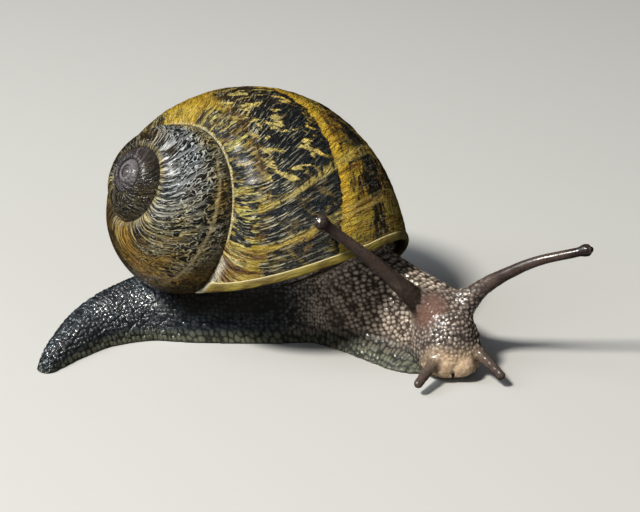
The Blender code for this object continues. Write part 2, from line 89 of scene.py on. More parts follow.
# The lip's section: how far before the edge and how far out of the shell's surface.
LIP_PROFILE = (
    (-0.8, -0.04), (-0.76, 0.07), (-0.6, 0.13), (-0.42, 0.15), (-0.24, 0.15), (-0.08, 0.13), (0.03, 0.04),
    (0.06, -0.1), (0.0, -0.28), (-0.15, -0.38), (-0.4, -0.43), (-1.1, -0.46), (-2.2, -0.46), (-3.6, -0.43),
    (-5.0, -0.4),
)

# Along the body's middle line: x, y, half the width of the sole and of the back, and the height.
BODY_STATIONS = {
    "tail_tip": (-26.2, -9.65, 0.8, 0.55, 0.9),
    "tail_end": (-25.7, -8.15, 1.6, 1.15, 1.7),
    "tail_middle": (-24.4, -5.45, 2.3, 1.8, 2.7),
    "tail_root": (-21.7, -1.65, 3.4, 2.9, 3.9),
    "rear": (-16.8, 1.35, 4.7, 4.2, 5.2),
    "under_spire": (-10.7, 1.95, 5.7, 5.0, 8.0),
    "trunk": (-4.2, 2.05, 5.9, 5.2, 13.0),
    "trunk_front": (1.6, 1.75, 5.6, 4.9, 13.0),
    "shoulder": (6.4, -0.35, 6.1, 4.5, 9.4),
    "neck": (10.0, -3.15, 6.2, 3.7, 8.2),
    "nape": (12.4, -5.85, 5.6, 3.45, 7.9),
    "head": (13.6, -8.25, 4.2, 3.25, 7.2),
    "snout": (14.2, -10.25, 2.0, 2.9, 5.6),
    "face": (14.45, -11.65, 0.6, 2.1, 4.1),
}
# Each tentacle: the corners of its route, and its radius at each.
UPPER_TENTACLES = {
    "right": (
        ((12.6, -7.8, 5.1), (9.3, -8.05, 8.5), (5.4, -9.25, 12.7), (1.5, -9.9, 16.2)),
        (1.5, 0.9, 0.64, 0.54),
    ),
    "left": (
        ((14.6, -6.25, 5.2), (17.3, -7.85, 8.7), (21.35, -9.55, 11.9), (26.1, -10.4, 13.6)),
        (1.35, 0.85, 0.52, 0.42),
    ),
}
LOWER_TENTACLES = {
    "right": (((13.2, -10.45, 2.9), (12.1, -11.85, 2.2), (10.6, -14.25, 1.3)), (0.8, 0.6, 0.45)),
    "left": (((15.6, -9.65, 3.3), (16.8, -10.85, 2.7), (18.7, -12.65, 1.35)), (0.8, 0.6, 0.45)),
}
MOUTH_LOBES = {"right": (13.15, -11.45, 1.75), "left": (15.1, -11.35, 1.75)}
MOUTH_LOBE_SIZE = (1.12, 0.98, 1.1)
# The cleft between the lobes of the mouth.
MOUTH_CLEFT = ((14.0, -12.75, 2.5), (14.05, -12.35, 1.5), (14.15, -11.6, 0.75), (14.2, -10.8, 0.6))
CLEFT_RADIUS = 0.17
# The middle of the smooth patch below the right upper tentacle.
BARE_PATCH = (11.9, -8.2, 6.0)
# The bulbs at the ends of the upper tentacles, right and left, and how far past the route they reach.
BULB_RADII = (0.74, 0.58)
BULB_REACH = 1.05
# Where the flesh leaves the shell's mouth.
STALK = np.array((0.4, 1.8, 8.6))
MANTLE_RADIUS = 0.85
STALK_RADIUS = 3.4

# ---------------------------------------------------------------- shell geometry, in mm


def columns(*values):
    """Values and arrays spread to one shape, side by side along a new last axis."""
    return np.stack(np.broadcast_arrays(*values), axis=-1)


def norm(vectors):
    """The length of each vector along the last axis."""
    return np.linalg.norm(vectors, axis=-1)


def unit(vectors):
    return vectors / norm(vectors)[..., None]


def shell_scale(theta):
    """The size of the growing section after turning by theta."""
    return SHELL_SCALE * np.exp(GROWTH_PER_RADIAN * theta + GROWTH_BEND * theta * theta)


def axial_place(theta):
    """How far down the shell's axis the section has moved."""
    scale = shell_scale(theta)
    sunk = np.clip((theta - LIP_SINK_FROM) / -LIP_SINK_FROM, 0, 2)
    return -SPIRE_DROP * SHELL_SCALE * (scale / SHELL_SCALE) ** SPIRE_DOME - LIP_SINK * sunk**2 * scale


def generating_curve(turn):
    """The section's outline at size 1: its radius and height at an angle round it."""
    across = CURVE_HALF_WIDTH * (np.cos(turn) + CURVE_EGG * np.cos(2 * turn))
    up = np.where(np.sin(turn) >= 0, CURVE_ABOVE, CURVE_BELOW) * np.sin(turn)
    radius = CURVE_CENTRE + across * math.cos(CURVE_TILT) - up * math.sin(CURVE_TILT)
    return radius, across * math.sin(CURVE_TILT) + up * math.cos(CURVE_TILT)


def section_point(theta, share, suture_turn):
    """Radius and height on the whorl, where share runs from the suture at 0 to the base's core at 1."""
    theta, share = np.broadcast_arrays(np.asarray(theta, float), np.asarray(share, float))
    round_share = np.clip(share / PERIPHERY_SHARE, 0, 1)
    radius, height = generating_curve(suture_turn - (suture_turn + math.pi / 2) * round_share)
    inward = np.clip((share - PERIPHERY_SHARE) / (1 - PERIPHERY_SHARE), 0, 1)
    scale = shell_scale(theta)
    radius = scale * radius * (1 - inward) + CORE_RADIUS * inward
    dimple = BASE_DIMPLE * (1 - np.cos(inward * math.pi / 2))
    return radius, scale * (height + dimple) + axial_place(theta)


class Sutures:
    """Where each whorl meets the one before it, as tables of the turning angle."""

    def __init__(self):
        self.angles = np.linspace(FIRST_ANGLE, LIP_ANGLE + 0.2, 420)
        self.turns = np.full(len(self.angles), math.pi / 2)
        self.shares = np.zeros(len(self.angles))
        for index, theta in enumerate(self.angles):
            if theta >= FIRST_SUTURE:
                self.turns[index], self.shares[index] = self.meeting(theta)
        kernel = np.hanning(9) / np.hanning(9).sum()
        later = self.angles >= FIRST_SUTURE
        for table in (self.turns, self.shares):
            padded = np.pad(table[later], 4, mode="edge")
            table[later] = np.convolve(padded, kernel, mode="valid")

    def meeting(self, theta):
        """The section's angle, and the older whorl's share, where the new whorl first touches it."""
        shares = np.linspace(0, 1, 321)
        before = theta - 2 * math.pi
        old = columns(*section_point(before, shares, self.turn(before)))
        turns = np.linspace(0, 2.6, 521)
        radius, height = generating_curve(turns)
        scale = shell_scale(theta)
        new = columns(radius * scale, height * scale + axial_place(theta))
        distance = norm(new[:, None] - old)
        near = distance.min(axis=1) < SUTURE_GAP
        first = int(np.argmax(near)) if near.any() else int(np.argmin(distance.min(axis=1)))
        return turns[first], shares[int(np.argmin(distance[first]))]

    def turn(self, theta):
        return np.interp(theta, self.angles, self.turns)

    def share_on_last(self, theta):
        return np.interp(theta, self.angles, self.shares)


def lip_angle(share):
    """Where growth stops, which leans back from the suture down."""
    share = np.clip(share, 0, 1)
    return LIP_ANGLE + LIP_ROOT * np.sqrt(share) + LIP_SLANT * share + LIP_CURVE * share**2


def growth_slant(share):
    """How far a growth line runs back from the angle that it is named for: straight near the suture."""
    over = GROWTH_BEND_WIDTH * np.logaddexp(0, (share - GROWTH_STRAIGHT_TO) / GROWTH_BEND_WIDTH)
    return lip_angle(np.minimum(GROWTH_STRAIGHT_TO + over, 1)) - LIP_ANGLE


def shell_point(theta, radius, height):
    """In the part's frame, from the shell's own: the shell winds to the right."""
    local = columns(radius * np.cos(theta), -radius * np.sin(theta), height)
    turn = np.array(SHELL_TURN.to_matrix())
    return local @ turn.T + SHELL_APEX


def surface(theta, share, sutures):
    radius, height = section_point(theta, share, sutures.turn(theta))
    return shell_point(theta, radius, height)


# ---------------------------------------------------------------- meshes


def add_object(name, data):
    obj = bpy.data.objects.new(name, data)
    bpy.context.scene.collection.objects.link(obj)
    return obj


def add_mesh(name, points_mm, faces, attributes=None, smooth=True):
    """A mesh object from arrays: faces is one array of rows, and attributes are numbers at its points."""
    mesh = bpy.data.meshes.new(name)
    points = np.ascontiguousarray(np.asarray(points_mm, float) * MM, dtype=np.float32)
    faces = np.ascontiguousarray(faces, dtype=np.int32)
    mesh.vertices.add(len(points))
    mesh.vertices.foreach_set("co", points.ravel())
    size = faces.shape[1]
    mesh.loops.add(faces.size)
    mesh.loops.foreach_set("vertex_index", faces.ravel())
    mesh.polygons.add(len(faces))
    mesh.polygons.foreach_set("loop_start", np.arange(0, faces.size, size, dtype=np.int32))
    mesh.update(calc_edges=True)
    mesh.validate()
    for key, values in (attributes or {}).items():
        values = np.ascontiguousarray(values, dtype=np.float32)
        kind = "FLOAT" if values.ndim == 1 else "FLOAT_VECTOR"
        layer = mesh.attributes.new(key, kind, "POINT")
        layer.data.foreach_set("value" if values.ndim == 1 else "vector", values.ravel())
    if smooth:
        mesh.shade_smooth()
    return add_object(name, mesh)


def grid_faces(rows, across):
    index = np.arange(rows * across).reshape(rows, across)
    corners = (index[:-1, :-1], index[:-1, 1:], index[1:, 1:], index[1:, :-1])
    return np.stack(corners, axis=-1).reshape(-1, 4)


def grid_normals(points):
    """Unit normals of a grid of points, on the side that its rows and columns wind to."""
    normal = np.cross(np.gradient(points, axis=0), np.gradient(points, axis=1))
    return normal / (norm(normal)[..., None] + 1e-12)


def lengths_along(points, axis=0):
    """How far each point is from the first, along the line through them."""
    steps = norm(np.diff(points, axis=axis))
    return np.concatenate([np.zeros_like(steps.take([0], axis)), np.cumsum(steps, axis=axis)], axis=axis)


def wobble(x, seed, octaves=3):
    """Smooth noise of one variable, about -1 to 1."""
    random = np.random.default_rng(seed)
    total, size = np.zeros_like(x), 1.0
    for _ in range(octaves):
        values = random.uniform(-1, 1, 4096)
        place = np.floor(x).astype(int)
        t = x - place
        t = t * t * (3 - 2 * t)
        total += size * (values[place % 4096] * (1 - t) + values[(place + 1) % 4096] * t)
        x, size = x * 2.03 + 17.3, size * 0.5
    return total / 1.75


def wobble2(x, y, seed, octaves=2):
    """Smooth noise of two variables, about -1 to 1."""
    random = np.random.default_rng(seed)
    total, size = np.zeros(np.broadcast(x, y).shape), 1.0
    for _ in range(octaves):
        values = random.uniform(-1, 1, (256, 256))
        i, j = np.floor(x).astype(int), np.floor(y).astype(int)
        u, v = x - i, y - j
        u, v = u * u * (3 - 2 * u), v * v * (3 - 2 * v)
        i0, i1, j0, j1 = i % 256, (i + 1) % 256, j % 256, (j + 1) % 256
        low = values[i0, j0] * (1 - u) + values[i1, j0] * u
        high = values[i0, j1] * (1 - u) + values[i1, j1] * u
        total += size * (low * (1 - v) + high * v)
        x, y, size = x * 2.03 + 11.7, y * 2.03 + 5.1, size * 0.5
    return total / 1.5


# ---------------------------------------------------------------- the shell


class Growth:
    """Turns the growth angle into a distance grown along the outside, in mm back from the lip."""

    def __init__(self):
        self.angles = np.linspace(FIRST_ANGLE - 7, LIP_ANGLE + 1.5, 4000)
        reach = shell_scale(self.angles) * (CURVE_CENTRE + CURVE_HALF_WIDTH)
        step = self.angles[1] - self.angles[0]
        self.lengths = np.cumsum(reach) * step
        self.lengths -= np.interp(LIP_ANGLE, self.angles, self.lengths)

    def at(self, angle):
        return np.interp(angle, self.angles, self.lengths)


def coil_values(theta, share, points, growth):
    """What the markings are drawn from: growth age, share of the way from the suture, and lengths in mm."""
    age = theta - growth_slant(share)
    return age, growth.at(age), lengths_along(points, axis=1)


def ridge_relief(age_mm, down, scale):
    """Growth lines in mm: fine ridges with coarser, uneven ones between them."""
    warp = 0.25 * wobble2(age_mm * 0.35, down * 0.3, 3)
    place = age_mm + warp
    fine = wobble(place / 0.42, 5, 2)
    coarse = wobble(place / 1.9, 8, 2)
    dents = wobble2(place / 0.9, down / 0.55, 12)
    size = np.clip(scale / SHELL_SCALE, 0.12, 1.1) ** 0.6
    return size * (0.045 * fine + 0.06 * coarse + 0.02 * dents)


def make_shell(sutures, growth):
    pieces = []
    spans = (
        ("shell_spire", FIRST_ANGLE, BODY_WHORL_FROM, 1500, 56),
        ("shell_body", BODY_WHORL_FROM, LIP_ANGLE, 950, 96),
    )
    for name, start, end, rows, across in spans:
        along = np.linspace(0, 1, rows)[:, None]
        if name == "shell_spire":
            # Rows are spaced by growth, so that the small first whorls keep as many.
            theta = start + (end - start) * along**0.9
            cover = sutures.share_on_last(np.minimum(theta + 2 * math.pi, LIP_ANGLE)) + 0.05
            share = np.linspace(0, 1, across) * cover
        else:
            spread = np.linspace(0, 1, across)[None, :]
            share = 0.25 * spread**2 + 0.75 * spread
            theta = start + (lip_angle(share) - start) * along
        points = surface(theta, share, sutures)
        normal = grid_normals(points)
        if (normal * (points - points.mean(axis=(0, 1)))).sum() < 0:
            normal = -normal
        age, age_mm, down = coil_values(theta, share, points, growth)
        scale = shell_scale(theta)
        relief = ridge_relief(age_mm, down, scale)
        fade = np.clip(down / (0.05 * scale), 0, 1) * np.clip((1 - share) / 0.12, 0, 1)
        points = points + normal * (relief * fade)[..., None]
        attributes = {
            "coil": columns(age, share, 0).reshape(-1, 3),
            "grain": columns(age_mm, down, 0).reshape(-1, 3),
        }
        points, faces = points.reshape(-1, 3), grid_faces(rows, across)
        if name == "shell_spire":
            points, faces, attributes = with_nucleus(points, faces, attributes)
        pieces.append(add_mesh(name, points, faces, attributes))
    return pieces


def with_nucleus(points, faces, attributes):
    """Adds the small dome that the first whorl winds round."""
    rise = np.linspace(-0.3, math.pi / 2, 17)[:, None]
    around = np.linspace(0, 2 * math.pi, 49)
    wide, high = NUCLEUS_SIZE
    dome = shell_point(around, wide * np.cos(rise), high * np.sin(rise)).reshape(-1, 3)
    faces = np.concatenate([faces, grid_faces(len(rise), len(around)) + len(points)])
    points = np.concatenate([points, dome])
    for key, value in ("coil", (FIRST_ANGLE, 0.5, 0.0)), ("grain", (-100.0, 1.0, 0.0)):
        attributes[key] = np.concatenate([attributes[key], np.tile(value, (len(dome), 1))])
    return points, faces, attributes


def make_lip(sutures):
    """The rounded edge of the mouth: a slightly reflected rim, and the inner wall behind it."""
    share = np.linspace(0, 1, 420)[:, None]
    profile = smooth_table(LIP_PROFILE, 48)
    theta = lip_angle(share)
    step = 1e-3

    def shell_frame(theta):
        point = surface(theta, share, sutures)
        grown = (surface(theta + step, share, sutures) - point) / step
        inner = np.minimum(share, 1 - step)
        across = (surface(theta, inner + step, sutures) - surface(theta, inner, sutures)) / step
        return point, grown, unit(np.cross(across, grown))

    edge, grown, normal = shell_frame(theta)
    middle = shell_point(theta, 0, axial_place(theta))
    side = np.sign((normal * (edge - middle)).sum())
    run = np.gradient(edge[:, 0], axis=0)[:, None]
    forward = unit(np.cross(normal, run))
    speed = np.maximum(np.abs((grown * forward).sum(axis=-1)), 0.35 * norm(grown))
    taper = np.clip(share / 0.03, 0.05, 1) ** 0.5
    point, _, normal = shell_frame(theta + profile[:, 0] * taper / speed)
    lumps = 1 + 0.16 * wobble(share * 26, 21)
    points = point + normal * side * (profile[:, 1] * taper * lumps)[..., None]
    length = lengths_along(profile)
    length -= length[np.argmax(profile[:, 0])]
    coil = columns(length, share, 0).reshape(-1, 3)
    return add_mesh("shell_edge", points.reshape(-1, 3), grid_faces(len(share), len(profile)), {"coil": coil})


# ---------------------------------------------------------------- the skin


def smooth_table(rows, count):
    """Rows read from a Catmull-Rom curve through the stations, at evenly spread places along it."""
    rows = np.asarray(rows, float)
    padded = np.vstack([2 * rows[0] - rows[1], rows, 2 * rows[-1] - rows[-2]])
    places = np.linspace(0, len(rows) - 1, count)
    first = np.minimum(places.astype(int), len(rows) - 2)
    t = (places - first)[:, None]
    p0, p1, p2, p3 = (padded[first + k] for k in range(4))
    return 0.5 * (
        2 * p1 + (p2 - p0) * t + (2 * p0 - 5 * p1 + 4 * p2 - p3) * t**2 + (3 * p1 - p0 - 3 * p2 + p3) * t**3
    )


def smooth_min(a, b, blend):
    h = np.clip(0.5 + 0.5 * (b - a) / blend, 0, 1)
    return b * (1 - h) + a * h - blend * h * (1 - h)


def smooth_max(a, b, blend):
    return -smooth_min(-a, -b, blend)


class Body:
    """The body's middle line with its sizes, and how far any point is outside its surface, in mm."""

    NAMES = list(BODY_STATIONS)

    def __init__(self):
        steps = (len(self.NAMES) - 1) * 24 + 1
        self.table = smooth_table(list(BODY_STATIONS.values()), steps)
        self.stations = np.linspace(0, len(self.NAMES) - 1, steps)
        self.line = self.table[:, :2]
        self.heading = unit(np.gradient(self.line, axis=0))
        self.along = lengths_along(self.line)

    def at(self, name):
        """How far along the line a station is."""
        return float(np.interp(self.NAMES.index(name), self.stations, self.along))

    def locate(self, points, start, end):
        """For points in plan: how far along, how far to the left, and how far past the start or the end."""
        use = (self.along >= start) & (self.along <= end)
        line, along, heading = self.line[use], self.along[use], self.heading[use]
        best = np.empty(len(points), int)
        for low in range(0, len(points), 20000):
            part = points[low : low + 20000]
            best[low : low + 20000] = np.argmin(((part[:, None] - line[None]) ** 2).sum(axis=2), axis=1)
        offset = points - line[best]
        ahead = (offset * heading[best]).sum(axis=1)
        left = -offset[:, 0] * heading[best][:, 1] + offset[:, 1] * heading[best][:, 0]
        inner = (best > 0) & (best < len(line) - 1)
        return along[best] + ahead * inner, left, np.where(inner, 0, ahead)

    def sizes(self, along):
        return [np.interp(along, self.along, column) for column in self.table.T[2:]]

    def section(self, points, start, end):
        """For points in space: how far along and how far out, with the line's sizes there."""
        along, left, past = self.locate(points[:, :2], start, end)
        return along, np.hypot(left, past), *self.sizes(along)

    def between(self, along, first, last):
        """0 before one station, rising to 1 at another."""
        return smooth_step(along, self.at(first), self.at(last))


FOOT_HEIGHT = 1.7
BACK_SQUARENESS = 2.5


def foot_distance(body, points):
    """The foot: a flat sole with a thin rim."""
    _, side, sole, back, height = body.section(points, 0.9, body.at("head") - 4.6)
    top = np.minimum(FOOT_HEIGHT, 0.55 * height)
    z = points[:, 2]
    slope = sole - 0.25 - np.clip(z / top, 0, 1.6) ** 1.5 * np.maximum(sole - back, 0.5) * 0.9
    return smooth_max(side - slope, z - top * 1.15, 0.5)


def back_distance(body, points):
    """The back over the foot, up to the head, which is raised a little from the floor."""
    along, side, _, back, height = body.section(points, 0.8, body.at("face") - 2.6)
    z = points[:, 2]
    power = BACK_SQUARENESS
    rise = np.clip((along - body.at("nape")) / 4.0, 0, 1)
    base = 0.9 * rise
    dome = ((side / back) ** power + (np.maximum(z - base, 0) / (height - base)) ** power) ** (1 / power) - 1
    return smooth_max(dome * np.minimum(back, height) * 0.95, (0.95 * rise - z) * rise - 2 * (1 - rise), 0.6)


def tube_distance(points, route, radii):
    """Distance to a tapered tube through the route's points."""
    best = np.full(len(points), 1e3)
    for a, b, ra, rb in zip(route, route[1:], radii, radii[1:]):
        step = b - a
        t = np.clip(((points - a) @ step) / (step @ step), 0, 1)
        best = np.minimum(best, norm(points - a - t[:, None] * step) - ra - (rb - ra) * t)
    return best


def ellipsoid_distance(points, centre, size):
    return (norm((points - centre) / size) - 1) * min(size)


def mantle_distance(points, edge):
    """Flesh that fills the mouth of the shell: a collar under the lip, and the stalk that it spreads from."""
    collar = tube_distance(points, edge, np.full(len(edge), MANTLE_RADIUS))
    for place in edge[::2]:
        collar = np.minimum(collar, tube_distance(points, np.array([place, STALK]), (0.8, STALK_RADIUS)))
    return collar


class Flesh:
    """Everything under the one skin, as a distance that is negative inside."""

    def __init__(self, sutures):
        self.body = Body()
        self.uppers = [self.route(*UPPER_TENTACLES[side], 22) for side in ("right", "left")]
        self.lowers = [self.route(*LOWER_TENTACLES[side], 10) for side in ("right", "left")]
        share = np.linspace(0.13, 0.9, 26)
        back = lip_angle(share) - 0.09
        radius, height = section_point(back, share, sutures.turn(back))
        middle = section_point(back, np.full_like(share, 0.45), sutures.turn(back))
        pull = 1.35 / np.hypot(middle[0] * 0.72 - radius, middle[1] - height)
        radius, height = radius + (middle[0] * 0.72 - radius) * pull, height + (middle[1] - height) * pull
        self.mantle_edge = shell_point(back, radius, height)

    @staticmethod
    def route(corners, radii, count):
        table = smooth_table([(*corner, radius) for corner, radius in zip(corners, radii)], count)
        return table[:, :3], table[:, 3]

    def on_tentacle(self, points):
        """1 on the upper tentacles, 0.8 on the lower ones, and 0 away from them."""
        amount = np.zeros(len(points))
        near = np.flatnonzero(points[:, 1] < -5)
        for routes, level in ((self.uppers, 1.0), (self.lowers, 0.8)):
            for route, radii in routes:
                close = np.abs(tube_distance(points[near], route, radii))
                reach = lengths_along(route)
                nearest = np.argmin(((points[near][:, None] - route[None]) ** 2).sum(axis=2), axis=1)
                out = smooth_step(reach[nearest], 0.12 * reach[-1], 0.45 * reach[-1])
                amount[near] = np.maximum(amount[near], level * out * smooth_step(close, 0.6, 0.15))
        return amount

    def off_lips(self, points):
        lobes = [ellipsoid_distance(points, centre, MOUTH_LOBE_SIZE) for centre in MOUTH_LOBES.values()]
        return np.min(lobes, axis=0)

    def near_mouth(self, points):
        """1 at the lips, fading over the lower face."""
        lobes = [norm(points - centre) for centre in MOUTH_LOBES.values()]
        return smooth_step(np.min(lobes, axis=0), 2.8, 1.1)

    def near_eyes(self, points):
        distance = np.min([norm(points - route[-1]) for route, _ in self.uppers], axis=0)
        return smooth_step(distance, 2.2, 0.5)

    def off_body(self, points):
        return smooth_min(back_distance(self.body, points), foot_distance(self.body, points), 0.55)

    def folds(self, along, z):
        """Soft waves along the sides, in mm."""
        side = self.body.between(along, "rear", "trunk")
        waves = 0.1 * wobble2(along * 0.55 + 0.2 * z, z * 0.6, 41) * smooth_step(z, 0.8, 2.5)
        return waves * (0.4 + 0.6 * side)

    def distance(self, points):
        """Of the whole flesh: the body, the collar in the shell's mouth, and the head's parts."""
        body = self.off_body(points)
        mantle = np.full(len(points), 1e3)
        near = points[:, 2] > 3.5
        mantle[near] = mantle_distance(points[near], self.mantle_edge)
        whole = smooth_min(body, mantle, 0.8)
        near = points[:, 1] < 0
        front = points[near]
        part = whole[near]
        for (route, radii), bulb_radius in zip(self.uppers, BULB_RADII):
            tube = tube_distance(front, route, radii)
            centre = route[-1] + unit(route[-1] - route[-2]) * (BULB_REACH - bulb_radius)
            bulb = ellipsoid_distance(front, centre, (bulb_radius,) * 3)
            part = smooth_min(part, smooth_min(tube, bulb, 0.3), 1.0)
        part = smooth_min(part, self.off_lips(front), 0.22)
        cleft = np.array(MOUTH_CLEFT)
        part = smooth_max(part, -tube_distance(front, cleft, np.full(len(cleft), CLEFT_RADIUS)), 0.2)
        for route, radii in self.lowers:
            part = smooth_min(part, tube_distance(front, route, radii), 0.45)
        whole[near] = part
        return np.maximum(whole, -points[:, 2])


def surface_net(field, low, step):
    """Points and quads where a field on a grid is zero: one point in each cell that the surface crosses."""
    inside = field < 0
    total = np.zeros((*(np.array(field.shape) - 1), 3))
    count = np.zeros(total.shape[:3])
    halves = slice(0, -1), slice(1, None)

    def edge_ends(axis, rest):
        first, second = [rest] * 3, [rest] * 3
        first[axis], second[axis] = halves
        return tuple(first), tuple(second)

    for axis in range(3):
        first, second = edge_ends(axis, slice(None))
        crossed = inside[first] != inside[second]
        t = np.where(crossed, field[first] / np.where(crossed, field[first] - field[second], 1), 0)
        others = [k for k in range(3) if k != axis]
        for i, j in np.ndindex(2, 2):
            pick = [slice(None)] * 3
            pick[others[0]], pick[others[1]] = halves[i], halves[j]
            hit = crossed[tuple(pick)]
            count += hit
            total[..., axis] += np.where(hit, t[tuple(pick)], 0)
            total[..., others[0]] += i * hit
            total[..., others[1]] += j * hit
    used = count > 0
    number = np.full(used.shape, -1)
    number[used] = np.arange(used.sum())
    points = low + (np.argwhere(used) + total[used] / count[used][:, None]) * step
    quads = []
    for axis in range(3):
        first, second = edge_ends(axis, slice(1, -1))
        others = [(axis + 1) % 3, (axis + 2) % 3]
        for crossed, turn in ((inside[first] & ~inside[second], 1), (~inside[first] & inside[second], -1)):
            corners = []
            for back in ((0, 0), (1, 0), (1, 1), (0, 1)):
                corner = np.argwhere(crossed)
                corner[:, others] += back
                corners.append(number[tuple(corner.T)])
            quads.append(np.stack(corners, axis=1)[:, ::turn])
    return points, np.concatenate(quads)


def settle(points, flesh, rounds):
    """Moves points onto the surface, and returns its outward directions there."""
    step = 0.02
    for _ in range(rounds + 1):
        value = flesh.distance(points)
        ahead = [flesh.distance(points + step * axis) for axis in np.eye(3)]
        slope = (columns(*ahead) - value[:, None]) / step
        size = (slope**2).sum(axis=1, keepdims=True) + 1e-6
        normal = slope / np.sqrt(size)
        move = np.clip(value[:, None] / np.sqrt(size), -0.3, 0.3)
        points = points - normal * move
    return points, normal


def near_field(flesh, axes):
    """The distance on a grid, worked out only near the surface: a coarser grid finds where that is."""
    coarse = [np.arange(axis[0], axis[-1] + 1.2, COARSE_GRID) for axis in axes]
    grid = np.stack(np.meshgrid(*coarse, indexing="ij"), axis=-1)
    rough = flesh.distance(grid.reshape(-1, 3)).reshape(grid.shape[:-1])
    fine = np.stack(np.meshgrid(*axes, indexing="ij"), axis=-1)
    place = (fine - [axis[0] for axis in axes]) / COARSE_GRID
    cell = np.clip(np.round(place).astype(int), 0, np.array(rough.shape) - 1)
    field = rough[cell[..., 0], cell[..., 1], cell[..., 2]]
    near = np.abs(field) < 1.5
    field[near] = flesh.distance(fine[near])
    return field


def worley(points, seed):
    """Distances to the nearest and the second nearest of points scattered one to each unit cell."""
    random = np.random.default_rng(seed)
    scatter = random.uniform(0.2, 0.8, (65536, 3))
    cell = np.floor(points).astype(np.int64)
    first = np.full(len(points), 9.0)
    second = np.full(len(points), 9.0)
    for offset in np.ndindex(3, 3, 3):
        at = cell + np.array(offset) - 1
        index = (at[:, 0] * 73856093 ^ at[:, 1] * 19349663 ^ at[:, 2] * 83492791) % 65536
        distance = norm(at + scatter[index] - points)
        second = np.minimum(second, np.maximum(first, distance))
        first = np.minimum(first, distance)
    return first, second


def bumps(points, cell_size, seed, groove=0.26):
    """Rounded bumps with grooves between them, 0 to 1."""
    first, second = worley(points / np.array(cell_size), seed)
    plateau = 1 - np.exp(-((second - first) / groove) ** 1.3)
    return 0.5 * plateau + 0.5 * np.clip(1.1 - (first / 0.62) ** 2, 0, 1)


def smooth_step(value, low, high):
    t = np.clip((value - low) / (high - low), 0, 1)
    return t * t * (3 - 2 * t)


# The skin's cells: their size in mm along, across and up, and their seed.
NECK_CELLS = ((0.8, 0.46, 0.5), 31)
HEAD_CELLS = ((0.5, 0.42, 0.42), 32)
SMALL_CELLS = ((0.48, 0.42, 0.42), 33)
FOOT_BLOCKS = ((0.62, 0.9, 0.75), 34)
FINE_CELLS = ((0.3, 0.3, 0.3), 35)
# How far they stand out, in mm.
TRUNK_HEIGHT, NECK_HEIGHT, HEAD_HEIGHT, TAIL_HEIGHT = 0.12, 0.17, 0.15, 0.17
BLOCK_HEIGHT, FINE_HEIGHT = 0.11, 0.02
# The groove above the foot's rim is at the first height in mm, and higher by the second at the neck.
RIM_TOP, RIM_RISE = 1.5, 0.65


def skin_relief(flesh, points):
    """How far the skin stands out, in mm, and what its colours are drawn from."""
    body = flesh.body
    along, left, _ = body.locate(points[:, :2], 0, body.along[-1])
    x, y, z = points.T
    height = body.sizes(along)[2]
    forward = body.between(along, "trunk_front", "neck")
    rim_top = np.minimum(RIM_TOP + RIM_RISE * forward, 0.4 * height)
    tentacle = flesh.on_tentacle(points)
    mouth = smooth_step(flesh.off_lips(points), 0.35, 0.02)
    head = body.between(along, "nape", "head")
    tail = 1 - body.between(along, "tail_root", "under_spire")
    neck = (1 - head) * (1 - tail)
    rows = columns(along + 0.55 * z, left, z - 0.35 * along)
    plain = columns(along, left, z)
    fore = body.between(along, "trunk_front", "shoulder")
    small = bumps(plain, *SMALL_CELLS)
    relief = neck * (fore * bumps(rows, *NECK_CELLS) + (1 - fore) * small)
    relief += head * bumps(plain, *HEAD_CELLS) + tail * small
    size = neck * (TRUNK_HEIGHT + (NECK_HEIGHT - TRUNK_HEIGHT) * fore)
    size += head * HEAD_HEIGHT + tail * TAIL_HEIGHT
    behind_head = 1 - smooth_step(along, body.at("head") + 0.3, body.at("head") + 1.8)
    foot = smooth_step(rim_top - z, -0.5, 0.6) * smooth_step(z, 0.02, 0.2) * behind_head
    blocks = columns(along + 0.25 * z, 0.12 * left, z * (1 + 0.5 * forward))
    relief = relief * (1 - foot) + bumps(blocks, *FOOT_BLOCKS, 0.2) * foot
    size = size * (1 - foot) + BLOCK_HEIGHT * foot
    fine = FINE_HEIGHT * (bumps(plain, *FINE_CELLS) - 0.5)
    above_floor = smooth_step(z, 0.02, 0.25)
    bare = smooth_step(norm(points - BARE_PATCH), 2.5, 1.2)
    quiet = (1 - 0.96 * tentacle) * (1 - 0.75 * mouth) * (1 - 0.6 * bare)
    mantle = smooth_step(flesh.off_body(points), 0.1, 0.8) * (y > -9) * (x < 11)
    out = above_floor * (quiet * (size * (relief - 0.6) + fine) + flesh.folds(along, z))
    buff = flesh.near_mouth(points) * (1 - foot)
    marks = {
        "relief": columns(relief * quiet + 0.5 * (1 - quiet), foot * quiet, mantle),
        "region": columns(tentacle, buff, head),
        "bare": bare,
        "tip": flesh.near_eyes(points),
        "body": plain,
    }
    return out, marks


# The corners of the space that the skin is drawn in.
SKIN_LOW = (-28.0, -16.0)
SKIN_HIGH = (28.2, 9.5, 18.0)


